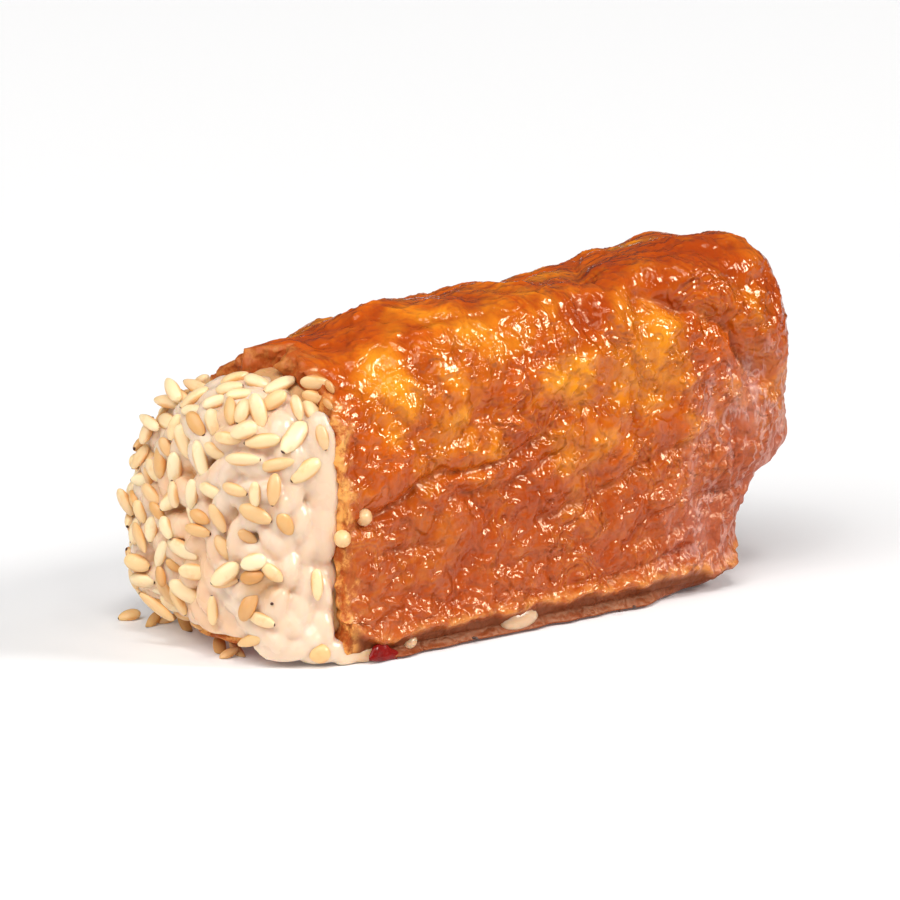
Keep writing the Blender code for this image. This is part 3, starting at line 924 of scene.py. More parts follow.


# Seeds given one by one, roughly from the bottom up, with crumbs last, as they look from the front left:
# millimetres right of and above the near foot of the mouth, the turn of the seed's point in degrees,
# length and width, and how toasted.
PLACED_SEEDS = (
    (-24.1, 5.5, 195, 2.7, 1.7, 0.25), (-21.5, 4.9, 240, 2.5, 1.3, 0.4), (-19.9, 5.1, 200, 2.4, 1.2, 0.5),
    (-17.9, 4.5, 297, 3.5, 1.3, 0.5), (-14.1, 2.0, 280, 2.6, 1.5, 0.7), (-12.1, 1.6, 310, 2.8, 1.1, 0.45),
    (-13.0, 1.4, 30, 2.4, 1.2, 0.6), (-3.0, 1.25, 200, 2.4, 2.2, 0.25), (-10.5, 2.8, 200, 3.6, 1.4, 0.25),
    (-21.1, 6.5, 143, 5.2, 1.4, 0.3), (-14.9, 6.1, 92, 3.4, 1.3, 0.05), (-17.9, 8.1, 325, 4.2, 2.1, 0.15),
    (-20.0, 8.2, 298, 3.8, 1.7, 0.1), (-22.6, 9.4, 350, 3.0, 1.7, 0.15), (-20.6, 9.9, 100, 2.6, 1.3, 0.6),
    (-10.9, 6.6, 65, 3.8, 1.8, 0.8), (-9.4, 5.0, 340, 3.2, 1.6, 0.2), (-13.5, 9.2, 10, 3.2, 1.3, 0.5),
    (-13.5, 10.1, 215, 3.8, 2.1, 0.0), (-10.5, 9.8, 10, 2.7, 1.7, 0.95), (-10.4, 11.4, 195, 3.0, 2.0, 0.0),
    (-8.2, 10.2, 320, 2.8, 1.6, 0.15), (-3.3, 8.9, 272, 3.6, 1.4, 0.0), (-16.8, 10.3, 352, 3.8, 1.9, 0.1),
    (-23.2, 11.3, 340, 3.2, 2.0, 0.05), (-18.9, 11.0, 330, 2.6, 1.4, 0.5), (-18.2, 12.8, 330, 4.0, 1.9, 0.1),
    (-20.6, 12.3, 250, 3.2, 1.5, 0.05), (-13.7, 13.0, 300, 3.2, 1.5, 0.45), (-11, 14.2, 330, 2.4, 1.3, 0.65),
    (-14.3, 16.2, 297, 3.6, 1.5, 0.35), (-16.5, 14.9, 345, 3.1, 1.5, 0.4), (-16.3, 16.4, 330, 2.5, 1.5, 0.55),
    (-23.3, 14.9, 80, 3.2, 1.8, 0.1), (-21.7, 15.0, 265, 3.0, 1.6, 0.0), (-20.0, 15.2, 290, 2.8, 1.6, 0.1),
    (-22.9, 17.0, 290, 2.8, 1.5, 0.05), (-21.0, 17.0, 310, 2.7, 1.3, 0.6), (-24.5, 18.0, 297, 3.6, 1.5, 0.3),
    (-10.1, 16.7, 335, 4.0, 1.9, 0.4), (-6.8, 15.6, 300, 2.7, 1.8, 0.4), (-8.1, 19.4, 265, 3.7, 1.6, 0.45),
    (-12.4, 19.4, 340, 3.0, 1.4, 0.3), (-10.2, 18.8, 270, 3.0, 1.4, 0.05), (-14.8, 19.2, 335, 3.4, 1.7, 0.05),
    (-17.2, 18.9, 265, 3.4, 1.7, 0.05), (-19.3, 18.4, 222, 3.8, 1.9, 0.0), (-21.7, 18.9, 310, 3.0, 1.6, 0.4),
    (-4.6, 21.5, 217, 4.0, 2.0, 0.08), (-7.8, 22.2, 12, 4.1, 1.5, 0.3), (-11.5, 22.8, 358, 4.0, 1.5, 0.25),
    (-14.5, 23.6, 325, 3.2, 1.7, 0.2), (-16.2, 22.7, 283, 4.5, 1.6, 0.05), (-22.1, 20.6, 185, 4.0, 2.0, 0.0),
    (-21.7, 23.1, 300, 3.2, 1.4, 0.3), (-22.9, 23.0, 235, 3.2, 1.5, 0.15), (-19.1, 21.6, 268, 4.0, 1.9, 0.0),
    (-20.0, 24.1, 300, 2.6, 1.4, 0.5), (-19.1, 26.3, 250, 3.2, 1.6, 0.0), (-18.0, 24.7, 290, 4.2, 1.9, 0.15),
    (-21.9, 26.9, 145, 2.8, 1.4, 0.1), (-22.1, 26.0, 67, 3.4, 1.6, 0.2), (-16.7, 26.7, 305, 3.2, 1.8, 0.55),
    (-13.2, 25.1, 350, 3.0, 1.5, 0.0), (-9.4, 24.8, 187, 4.1, 1.7, 0.15), (-11.4, 26.0, 200, 3.2, 2.0, 0.0),
    (-14.6, 26.6, 290, 3.8, 2.0, 0.0), (-5.9, 25.2, 235, 4.2, 2.3, 0.1), (-2.7, 25.2, 285, 3.0, 1.4, 0.45),
    (-16.9, 28.2, 0, 3.0, 1.5, 0.15), (-12.9, 28.2, 95, 3.2, 1.5, 0.4), (-11.6, 28.1, 250, 3.0, 1.8, 0.2),
    (-9.8, 28.1, 285, 4.2, 1.9, 0.0), (-8.1, 29.3, 215, 3.3, 1.9, 0.05), (-5.5, 28.5, 285, 3.0, 1.4, 0.35),
    (-3.8, 28.0, 310, 3.2, 1.7, 0.15), (-14.6, 29.2, 20, 3.0, 1.5, 0.1), (-18.3, 29.5, 320, 3.4, 1.7, 0.05),
    (-19.9, 29.2, 170, 3.2, 1.7, 0.2), (-19.3, 30.5, 120, 3.0, 1.7, 0.05), (-16.6, 30.8, 155, 3.6, 1.6, 0.3),
    (-11.8, 30.0, 5, 3.2, 1.5, 0.0), (-13.0, 30.7, 10, 3.2, 1.6, 0.05), (-9.9, 31.3, 340, 3.2, 1.9, 0.2),
    (-7.5, 31.0, 205, 3.8, 1.8, 0.05), (-3.4, 29.5, 340, 3.4, 1.6, 0.3), (-3.4, 31.2, 353, 3.6, 1.7, 0.4),
    # On the next line, the second and third are small dark seeds put beside the top rim's seeds as painted
    # shade, for the pockets at those seeds' ends; the others on these two lines are crumbs.
    (-8.3, 6.8, 0, 0.4, 0.35, 1.0), (-1.9, 30.8, 300, 1.7, 0.9, 0.9), (-2.1, 28.9, 310, 1.5, 0.8, 0.9),
    (14.2, 3.0, 350, 0.8, 0.4, 1.0), (30.2, 6.0, 10, 0.5, 0.3, 1.0), (31.8, 6.5, 0, 0.45, 0.3, 1.0),
)

# Seeds that stand on end against the near rim, seen as discs: millimetres right and up, and toasting,
# and the length and width of each.
END_ON_SEEDS = ((1.85, 16.4, 0.5), (-0.5, 14.0, 0.1))
END_ON_SIZE = (2.4, 1.95)

# How high a seed lies: its middle over the table, and the skin's share of a seed that lies on it. The
# table shows for -y and +y between these, and in front of the heap only up to this x.
TABLE_LIFT, SKIN_LIFT = 0.4, 0.35
TABLE_NEAR, TABLE_FAR, TABLE_FRONT = -18.6, 15.8, -11.5

# Steps away from the ground that are tried for a seed, so that it lies over its neighbours: for a listed
# one, towards the view, and for a scattered one, along its own normal, in front and elsewhere.
LIFTS_BY_HAND, LIFTS_IN_FRONT, LIFTS_ELSEWHERE = (0.25, 0.6, 0.95), (0.12,), (0.30, 0.6, 0.9)

# How far the search for the outline goes, for a seed beside it, and how much a seed may overlap others.
WIDEST_SEARCH, SEARCH_STEP = 6.0, 0.3
OVERLAP_IN_FRONT, OVERLAP_ELSEWHERE = 0.5, 1.6
LONGEST_SEED = 5.2

# A seed's beads stand that share of its length apart and reach that share of its width, and a
# millimetre of lift counts as that much overlap.
BEAD_APART, BEAD_REACH, LIFT_COST = 0.33, 0.8, 0.7
SEED_SIDES, SEED_RINGS = 12, 9


def seed_crowd(points):
    """How thickly the seeds lie: full on the far and upper parts of the mouth, thin beside the near rim
    and low in the middle, where the rice is bare, and none against the top rim."""
    x, y, z = np.moveaxis(points, -1, 0)
    share = ease(y + 0.35 * (z - 16), -9.0, -3.0)
    bare = hump(y, -6, 6.5) * hump(z, 5.5, 4.0)
    rim = ease(z, 23, 27) * ease(x, -5.0, -3.0)
    return share * (1 - 0.9 * bare) * (1 - rim) * ease(z, 0.8, 2.0)


def direction(azimuth, elevation):
    """From the aim towards the camera."""
    flat = math.cos(elevation)
    return Vector((math.sin(azimuth) * flat, -math.cos(azimuth) * flat, math.sin(elevation)))


def sight_line(across, up):
    """From the viewing place, the way through a point that many millimetres right of and above the near
    foot of the mouth, in the plane that faces the view."""
    back = np.array(direction(VIEW_AZIMUTH, VIEW_ELEVATION))
    right = np.array((math.cos(VIEW_AZIMUTH), math.sin(VIEW_AZIMUTH), 0.0))
    eye = np.array(VIEW_AIM) + VIEW_DISTANCE * back
    point = np.array((MOUTH_X, -HALF_WIDTH, 0.0)) + across * right + up * np.cross(back, right)
    return eye, unit(point - eye), right, back


def first_met(eye, way, trees):
    """Distance to, and the normal of, the first of the pieces or the table near them that a line meets,
    or None."""
    met = []
    for tree, lift in zip(trees, (0.0, SKIN_LIFT)):
        hit, facing, _, distance = tree.ray_cast(Vector(eye * MM), Vector(way))
        if hit is not None:
            met.append((distance / MM - lift, np.array(facing)))
    distance = (TABLE_LIFT - eye[2]) / way[2]
    place = eye + distance * way - (MOUTH_X, 0, 0)
    if TABLE_NEAR < place[1] < TABLE_FAR and place[0] > TABLE_FRONT:
        met.append((distance, np.array((0.0, 0.0, 1.0))))
    return min(met, key=lambda m: m[0]) if met else None


def seen_seat(across, up, turn, trees):
    """Where a seed lies that is seen at that place, and the way it points: on what the line of sight
    meets, or beside the outline, as deep as the nearest piece of the outline."""
    eye, way, right, back = sight_line(across, up)
    met = None
    inward = 0.0
    while met is None:
        if inward > WIDEST_SEARCH:
            raise RuntimeError("a seed set by hand meets nothing at " + str((across, up)))
        met = first_met(eye, sight_line(across + inward, up)[1], trees)
        inward += SEARCH_STEP
    distance, facing = met
    lean = unit(facing + 0.75 * back)
    point = math.cos(turn) * right + math.sin(turn) * np.cross(back, right)
    point = unit(point - (point @ lean) / (back @ lean) * back)
    return eye + distance * way - (MOUTH_X, 0, 0), lean, point, back


def pressed_on(place, outward, rice_tree):
    """Where a line from outside, against the outward way, meets the rice, and a normal between the
    rice's own there and the outward way. None when it misses."""
    start = (place + 6 * outward + (MOUTH_X, 0, 0)) * MM
    hit, facing, _, _ = rice_tree.ray_cast(Vector(start), Vector(-outward))
    if hit is None:
        return None
    return np.array(hit) / MM - (MOUTH_X, 0, 0), unit(0.5 * np.array(facing) + 0.5 * outward)


def least_crowded(choices, length, width, beads):
    """The centre and way, of those offered, at which a seed overlaps the beads of the others least, its
    own three beads, and how much it overlaps. A low seat costs less than a high one."""
    best = None
    for centre, way, lift in choices:
        own = centre + np.array([-BEAD_APART, 0.0, BEAD_APART])[:, None] * length * way
        gaps = np.linalg.norm(own[:, None] - beads[None], axis=-1)
        overlap = np.maximum(0, BEAD_REACH * width - gaps).sum()
        cost = overlap + LIFT_COST * lift
        if best is None or cost < best[0]:
            best = (cost, centre, way, own, overlap)
    return best[1:]


def hand_set_seeds(trees):
    """The seeds that lie where they are seen, as rows of centre, normal, way, length, width and toasting,
    and all their beads."""
    kept = []
    beads = np.zeros((0, 3))
    for across, up, turn, length, width, toast in PLACED_SEEDS:
        ground, lean, way, back = seen_seat(across, up, math.radians(turn), trees)
        seen_share = np.linalg.norm(way - (way @ back) * back)
        length = min(length / max(seen_share, 0.7), LONGEST_SEED)
        choices = [(ground + lift * back, way, lift) for lift in LIFTS_BY_HAND]
        centre, way, own, _ = least_crowded(choices, length, width, beads)
        kept.append((centre, lean, way, length, width, toast))
        beads = np.vstack([beads, own])
    return kept, beads


def scattered_seeds(look, rng, rice_tree, beads):
    """Rows of the seeds dropped in along the dome's normal, mostly where the view doesn't reach. Each is
    tried at several heights and turns, and left out where it would overlap others too much."""
    front = np.array(direction(VIEW_AZIMUTH, VIEW_ELEVATION))
    usual, wide = look.seed_length / MM, look.seed_width / MM
    places, normals = spread(
        look.seeds, rng, wide * 0.62, seed_crowd,
        lambda n, p: 1 - ease(n @ front, -0.1, 0.15) * (0.97 - 0.3 * ease(p[:, 1], -3, 3)),
    )
    kept = []
    for place, outward in zip(places, normals):
        seat = pressed_on(place, outward, rice_tree)
        if seat is None:
            continue
        ground, lean = seat
        length, width = usual * rng.uniform(0.84, 1.08), wide * rng.uniform(0.86, 1.10)
        in_front = outward @ front > 0
        choices = []
        for _ in range(12):
            way = unit(np.cross(lean, rng.normal(size=3)))
            for lift in LIFTS_IN_FRONT if in_front else LIFTS_ELSEWHERE:
                tipped = unit(way + 0.25 * (lift - 0.3) * rng.normal() * lean)
                choices.append((ground + lean * lift, tipped, lift))
        centre, way, own, overlap = least_crowded(choices, length, width, beads)
        if overlap > (OVERLAP_IN_FRONT if in_front else OVERLAP_ELSEWHERE):
            continue
        kept.append((centre, lean, way, length, width, rng.beta(0.8, 2.4)))
        beads = np.vstack([beads, own])
    return kept


def end_on_seeds(trees):
    """Rows of the seeds that point at the view."""
    kept = []
    for across, up, toast in END_ON_SEEDS:
        ground, _, _, back = seen_seat(across, up, 0.0, trees)
        kept.append((ground + 0.5 * back, np.array((0.0, 0.2, 1.0)), back, *END_ON_SIZE, toast))
    return kept


def seeds_mesh(look, rng, trees):
    """All the seeds as one joined mesh, each with its own size, tint and toasting. How far each point
    is along its seed, and how far out towards the seed's edge, is stored for the colour too."""
    by_hand, beads = hand_set_seeds(trees)
    rows = by_hand + scattered_seeds(look, rng, trees[0], beads) + end_on_seeds(trees)
    centres, normals, ways, lengths, widths, toast = (np.array(part) for part in zip(*rows))
    count = len(centres)
    thick = rng.uniform(0.60, 0.78, count)
    dark_tip = (rng.uniform(0, 1, count) < 0.65) * 1.0
    thick[-len(END_ON_SEEDS):] = 1.0
    dark_tip[-len(END_ON_SEEDS):] = 0.0
    half = 0.5 * np.column_stack([lengths, widths, widths * thick])
    shape = seed_shape(SEED_SIDES, SEED_RINGS)
    made = turned(shape, half, ways, normals) + centres[:, None, :]
    made[..., 2] = np.maximum(made[..., 2], 0.05)
    each = len(shape)
    across = np.abs(shape[:, 1])
    values = {
        "along": np.tile(shape[:, 0], count),
        "edge": np.tile(across / across.max(), count),
        "tint": np.repeat(np.clip(rng.uniform(-0.2, 0.6, count) + toast, 0, 1), each),
        "toast": np.repeat(toast, each),
        "tip": np.repeat(dark_tip, each),
    }
    return copies_mesh("sesame_seeds", made, SEED_SIDES, SEED_RINGS, values)


# === the fleck of ginger ==========================================================================

# The fleck's place, its turn about each axis, and its half sizes at its usual length.
FLECK_PLACE, FLECK_TURN = (4.1, -17.2, 1.1), (-0.25, 0.1, 0.1)
FLECK_LENGTH, FLECK_HALF = 3.8, (1.9, 0.34, 1.1)
FLECK_SIDES, FLECK_RINGS = 16, 9


def fleck_mesh(look):
    """A shred of red pickled ginger between the lip and the table: a flat, crinkled wedge, whose half
    width falls off upward as 1 - 0.7 z."""
    shape = grain_shape(FLECK_SIDES, FLECK_RINGS)
    size = np.array(FLECK_HALF) * (look.fleck_length / MM / FLECK_LENGTH)
    points = shape * size
    points[:, 0] *= 1 - 0.7 * shape[:, 2]
    points = points + 0.35 * drift(points, 1.0, 95)
    turn = np.array(Euler(FLECK_TURN).to_matrix())
    points = points @ turn.T + FLECK_PLACE
    points[:, 2] = np.maximum(points[:, 2], 0.03)
    return make_mesh("ginger_fleck", points, *tube_faces(FLECK_RINGS, FLECK_SIDES))


# === shader writing ===============================================================================

class Wire:
    """A socket of a material, on which + - * and ** with numbers or sockets add Math nodes."""

    def __init__(self, finish, socket):
        self.finish = finish
        self.socket = socket

    def maths(self, operation, first, second):
        """A Math node on two sockets or numbers."""
        return self.finish.node("ShaderNodeMath", {"operation": operation}, {0: first, 1: second})

    def __add__(self, other):
        return self.maths("ADD", self, other)

    def __sub__(self, other):
        return self.maths("SUBTRACT", self, other)

    def __mul__(self, other):
        return self.maths("MULTIPLY", self, other)

    def __pow__(self, other):
        return self.maths("POWER", self, other)

    def __rsub__(self, other):
        return self.maths("SUBTRACT", other, self)

    __radd__ = __add__
    __rmul__ = __mul__


class Finish:
    """A material under construction: node() adds any node, and the rest are short ways to say it."""

    def __init__(self, name):
        self.material = bpy.data.materials.new(name)
        self.material.use_nodes = True
        self.tree = self.material.node_tree
        self.shader = self.tree.nodes["Principled BSDF"]

    def node(self, kind, settings=None, sockets=None, output=0):
        """Adds a node: its settings first, then its sockets' values or links. Sockets and the output are
        named by place or by name."""
        made = self.tree.nodes.new(kind)
        for key, value in (settings or {}).items():
            setattr(made, key, value)
        for key, value in (sockets or {}).items():
            self.plug(made.inputs[key], value)
        return Wire(self, made.outputs[output])

    def plug(self, socket, value):
        """Links a socket, or sets it to a value, or to an opaque colour."""
        if isinstance(value, Wire):
            self.tree.links.new(value.socket, socket)
        elif socket.type == "RGBA":
            socket.default_value = (*value, 1)
        else:
            socket.default_value = value

    def set(self, **sockets):
        """Sets or links the surface shader's own sockets, with _ for a space in a name."""
        for key, value in sockets.items():
            self.plug(self.shader.inputs[key.replace("_", " ")], value)

    def value(self, name):
        """The number stored at each point under that name."""
        return self.node("ShaderNodeAttribute", {"attribute_name": name}, output="Fac")

    def place(self):
        """The position in the piece's own frame, in metres."""
        return self.node("ShaderNodeTexCoord", output="Object")

    def bent(self, size, reach):
        """The position, moved about by up to that many millimetres by noise of that size."""
        sway = self.node(
            "ShaderNodeTexNoise", None, {"Vector": self.place(), "Scale": 0.5 / (size * MM)}, "Color"
        )
        sway = self.node("ShaderNodeVectorMath", {"operation": "SUBTRACT"}, {0: sway, 1: (0.5, 0.5, 0.5)})
        settings = {"operation": "MULTIPLY_ADD"}
        factor = (4 * reach * MM,) * 3
        return self.node("ShaderNodeVectorMath", settings, {0: sway, 1: factor, 2: self.place()})

    def mottle(self, size, detail=2.0, rough=0.5, stretch=(1, 1, 1), place=None):
        """Noise from 0 to 1 with swells of about that many millimetres, longer where stretch is low."""
        if stretch != (1, 1, 1):
            sockets = {0: place or self.place(), 1: stretch}
            place = self.node("ShaderNodeVectorMath", {"operation": "MULTIPLY"}, sockets)
        sockets = {"Vector": place or self.place(), "Scale": 0.5 / (size * MM)}
        sockets.update({"Detail": detail, "Roughness": rough})
        return self.node("ShaderNodeTexNoise", None, sockets, "Fac")

    def streaks(self, size, turn):
        """Noise from 0 to 1 of streaks that wide and three times as long, turned about y by an angle."""
        sockets = {"Vector": self.place(), "Rotation": (0.0, turn, 0.0), "Scale": (1.0, 1.0, 0.33)}
        return self.mottle(size, 1, 0.5, place=self.node("ShaderNodeMapping", None, sockets))

    def line(self, value, middle, width):
        """1 where the value passes the middle, and 0 where it is more than the width away."""
        away = self.node("ShaderNodeMath", {"operation": "ABSOLUTE"}, {0: value - middle})
        return 1 - self.between(away, 0.0, width)

    def ripples(self, swell, count):
        """A wave from 0 to 1 that follows a swell's contours, that many times from 0 to 1."""
        wave = self.node("ShaderNodeMath", {"operation": "SINE"}, {0: swell * (2 * math.pi * count)})
        return 0.5 + 0.5 * wave

    def between(self, value, low, high):
        """0 below low, 1 above high, smooth between."""
        settings = {"interpolation_type": "SMOOTHSTEP"}
        return self.node("ShaderNodeMapRange", settings, {"Value": value, "From Min": low, "From Max": high})

    def mix(self, first, second, share):
        """Two colours mixed by a share."""
        settings = {"data_type": "RGBA", "clamp_factor": True}
        return self.node("ShaderNodeMix", settings, {0: share, 6: first, 7: second}, 2)

    def layered(self, base, washes):
        """A colour with others laid over it in turn, each with its share."""
        for colour, share in washes:
            base = self.mix(base, colour, share)
        return base

    def bump(self, height, distance):
        """Tilts the surface's normal by a height from 0 to 1, over that many millimetres."""
        sockets = {"Height": height, "Distance": distance * MM, "Strength": 1.0}
        self.set(Normal=self.node("ShaderNodeBump", None, sockets))


def skin_film(f, bent, scatter, dry, low):
    """The skin's wet film: wrinkles that follow the contours of a noise and gather where another is high,
    over finer grain, slanting streaks and broad swells, with dull threads at the closed end. Returns its
    height, and the wrinkles, the swells and the threads for the colour, each from 0 to 1."""
    along = f.ripples(f.mottle(3.0, 1, 0.4, place=bent), 15.0)
    across = f.ripples(f.mottle(2.2, 1, 0.4, (0.6, 1.0, 0.8), bent), 8.0)
    gather = f.between(f.mottle(3.2, 1), 0.46, 0.60)
    grain = 0.13 * f.mottle(0.42, 1, 0.5) + 0.22 * f.streaks(0.5, 0.9) + 0.14 * f.streaks(0.42, -0.5)
    broad = f.mottle(1.0, 1, 0.5, place=bent)
    threads = f.line(f.mottle(1.2, 3, 0.6, (1.0, 1.0, 0.30), bent), 0.5, 0.06)
    threads = threads * f.between(f.mottle(1.8, 2), 0.36, 0.50) * dry
    film = (0.05 * along + 0.09 * across * scatter) * (0.1 + 0.9 * gather) + grain * scatter
    film = film * (1 - 0.3 * low) * (1 - 0.6 * f.value("upward")) + 0.8 * broad + 0.10 * threads
    return film, along * gather, broad, threads


def skin_finish(look):
    """Simmered, fried tofu: amber orange, browner in patches, paler and spongy at its cut rim and lip, and
    dull in streaks at its closed end, under a wet, wrinkled film. Painted shade makes it redder and darker
    low down, dark red in the creases, folds and hollows, browner on the hood, darker under the lip and
    mauve at the foot of the closed end, which also has pale streaks of painted sheen; the crests of the
    wrinkles are painted lighter."""
    f = Finish("tofu_skin")
    bent = f.bent(3.5, 0.8)
    low = f.value("low")
    dry = f.value("dry")
    scatter = f.between(f.mottle(1.3, 2), 0.38, 0.54)
    film, wrinkles, broad, threads = skin_film(f, bent, scatter, dry, low)

    patches = f.between(f.mottle(2.2, 3, 0.6, place=bent), 0.46, 0.60)
    thin = f.between(f.mottle(4.2, 3, 0.6, place=bent), 0.47, 0.60)
    specks = f.between(f.mottle(0.6, 3, 0.6), 0.50, 0.64)
    pale = f.between(f.mottle(1.5, 3, 0.6, (1.0, 1.0, 0.35), bent), 0.50, 0.62)
    crumbly = f.between(f.mottle(0.9, 3), 0.44, 0.58)
    sponge = f.between(f.mottle(1.1, 4, 0.7), 0.40, 0.60)
    cut = f.mix(look.cut_dark, look.cut, sponge * (1 - 0.7 * f.value("top")))
    colour = f.layered(look.orange, (
        (look.amber, f.value("amber") * 0.9),
        (look.amber, thin * (1 - low * 0.8) * 0.30),
        # Painted shade: the lower side is darker and redder, as the light from above reaches it less.
        (look.low, low * 0.85),
        (look.deep, patches * (0.55 - 0.5 * f.value("amber"))),
        # Painted shade in the hollows between the crumples.
        (look.deep, (1 - f.value("height")) ** 1.3 * 0.6),
        # A browner tone, and painted shade on the hood over the closed end and by the long fold.
        (look.deep, f.value("dark") * (0.75 + 0.25 * scatter)),
        # Painted light: the crests of the fine wrinkles are lighter.
        (look.amber, wrinkles * 0.14),
        (look.deep, specks * 0.22),
        # Painted shade in the fold colour: in the hollows between the film's broad swells, in the creases,
        # and at the bottom of the large folds and in the notch of the top rim.
        (look.fold, (1 - broad) ** 3.0 * 0.65),
        (look.fold, f.value("crease") * 0.30),
        (look.fold, f.value("fold") * 0.32),
        # Painted shade and sheen at the foot of the closed end: darker, pinker colour, mottled by specks,
        # where it turns from the light, and pale streaks and threads of painted sheen.
        (look.mauve, dry * (0.40 + 0.35 * specks)),
        (look.dry, dry * pale * 0.14),
        (look.dry, threads * 0.55),
        (look.lip, f.value("lip") * (0.2 + 0.7 * crumbly)),
        # Painted shade on the skin under the lip and on its hem, which stands in for the shadow on the table.
        (look.under, f.value("under")),
        (cut, f.value("cut") * (0.6 + 0.4 * sponge)),
    ))
    rough = 0.06 + 0.12 * f.mottle(0.9, 2) + 0.20 * dry + 0.35 * f.value("cut") + 0.3 * f.value("fold")
    rough = rough + 0.10 * low + 0.4 * f.value("under")
    f.set(Base_Color=colour, Roughness=rough, IOR=1.46, Subsurface_Weight=0.10, Subsurface_Scale=0.0006)
    f.set(Subsurface_Radius=(1.0, 0.32, 0.08), Specular_Tint=(1.0, 0.85, 0.62))
    f.bump(film, 1.0)
    return f.material


def rice_finish(look, name):
    """Cooked rice: milky and translucent, pinkish cream, with painted shade, tan to ochre, in the clefts,
    and a warmer painted shade in patches towards the seeds.
    """
    f = Finish(name)
    # Painted shade with warm light bounced from the seeds, in patches, most on the far side where they crowd.
    warm = f.between(f.mottle(3.5, 2), 0.40, 0.62) * (0.35 + 0.65 * f.value("far"))
    milky = f.mix(look.rice, look.rice_warm, warm)
    # Painted shade in the clefts, the hollow and under the lip.
    colour = f.mix(milky, look.cleft, f.value("depth"))
    f.set(Base_Color=colour, Roughness=0.20 + 0.14 * f.mottle(1.2), IOR=1.42, Subsurface_Weight=0.6)
    f.set(Subsurface_Scale=0.0014, Subsurface_Radius=(1.0, 0.58, 0.32))
    f.bump(f.mottle(0.9, 2), 0.10)
    return f.material


def seed_finish(look):
    """Toasted sesame: cream to tan by seed, with orange blotches, and painted shade that makes it oranger
    round the edge, with a small dark tip. The most toasted are burnt crumbs, dark all over."""
    f = Finish("sesame")
    toast = f.value("toast")
    colour = f.layered(look.seed, (
        (look.seed_tan, f.value("tint")),
        (look.seed_toasted, toast * 0.9),
        # Painted shade round each seed's edge; the blotches on the next line are the seed's own orange.
        (look.seed_edge, f.between(f.value("edge"), 0.62, 0.98) * 0.75),
        (look.seed_edge, f.between(f.mottle(0.7, 3, 0.6), 0.52, 0.7) * 0.25),
        (look.seed_tip, f.between(f.value("along"), 0.90, 0.95) * f.value("tip")),
        (look.seed_tip, f.between(toast, 0.97, 0.99)),
    ))
    f.set(Base_Color=colour, Roughness=0.30 + 0.15 * f.mottle(0.6), IOR=1.46, Subsurface_Weight=0.25)
    f.set(Subsurface_Scale=0.0007, Subsurface_Radius=(1.0, 0.6, 0.3))
    f.bump(f.mottle(0.45, 2), 0.05)
    return f.material


def fleck_finish(look):
    """Pickled ginger: wet, dark red, brighter where it is thin."""
    f = Finish("red_fleck")
    colour = f.mix(look.fleck, look.fleck_bright, f.mottle(1.1, 2))
    f.set(Base_Color=colour, Roughness=0.25, Subsurface_Weight=0.05, Subsurface_Scale=0.0004)
    f.set(Subsurface_Radius=(1.0, 0.2, 0.1), Specular_IOR_Level=0.2)
    f.bump(f.mottle(0.5, 2), 0.08)
    return f.material


def floor_finish(look):
    """A plain white table with a faint shine, made a little lighter by a glow of its own."""
    f = Finish("floor")
    f.set(Base_Color=look.floor, Roughness=0.35, Specular_IOR_Level=0.08)
    f.set(Emission_Color=(1.0, 1.0, 1.0), Emission_Strength=0.07)
    return f.material


# === settings =====================================================================================

def length_setting(name, description, millimetres):
    """A length setting, in metres, with its default given in millimetres."""
    return FloatProperty(
        name=name, description=description, default=millimetres * MM, min=0, precision=5, unit="LENGTH"
    )


def colour_setting(name, description, default):
    """A colour setting, in linear light."""
    return FloatVectorProperty(
        name=name, description=description, default=default, size=3, min=0, max=1, subtype="COLOR"
    )


class InariSkinLook(PropertyGroup):
    """Sizes and colours of the tofu skin."""

    columns: IntProperty(name="Columns", description="Points round the pouch", default=316, min=24)
    rows: IntProperty(name="Rows", description="Rings from the mouth to the closed end", default=196, min=8)
    end_rows: IntProperty(name="End rows", description="Rings over the closed end", default=54, min=4)
    crumple: FloatProperty(name="Crumple", description="Depth of the fine relief, 1 as cooked", default=1.0)
    rim: length_setting("Rim", "Thickness of the cut rim at the mouth", 2.4)
    orange: colour_setting("Orange", "Main colour of the skin", (0.65, 0.118, 0.007))
    amber: colour_setting("Amber", "Thin patches", (0.97, 0.36, 0.018))
    # A browner tone in patches and specks, and painted shade in the crumples' hollows and on the hood.
    deep: colour_setting("Deep", "Browner patches and creases", (0.43, 0.057, 0.005))
    # Painted shade in the folds, creases and hollows.
    fold: colour_setting("Fold", "Bottom of the large folds", (0.27, 0.030, 0.005))
    # Painted shade of the lower side.
    low: colour_setting("Low", "Lower side", (0.46, 0.089, 0.018))
    # Painted sheen: the pale streaks and threads at the closed end.
    dry: colour_setting("Dry", "Dull threads at the closed end", (0.76, 0.42, 0.36))
    # Painted shade at the foot of the closed end, darker and pinker.
    mauve: colour_setting("Mauve", "Between the dull threads", (0.38, 0.086, 0.045))
    # Painted shade under the lip, also on the hem that lies out as the shadow on the table.
    under: colour_setting("Under", "Shaded skin under the lip", (0.20, 0.040, 0.008))
    lip: colour_setting("Lip", "Ragged lip", (0.70, 0.25, 0.055))
    cut: colour_setting("Cut", "Spongy rim", (0.88, 0.40, 0.10))
    cut_dark: colour_setting("Cut dark", "Hollows of the spongy rim", (0.42, 0.085, 0.012))


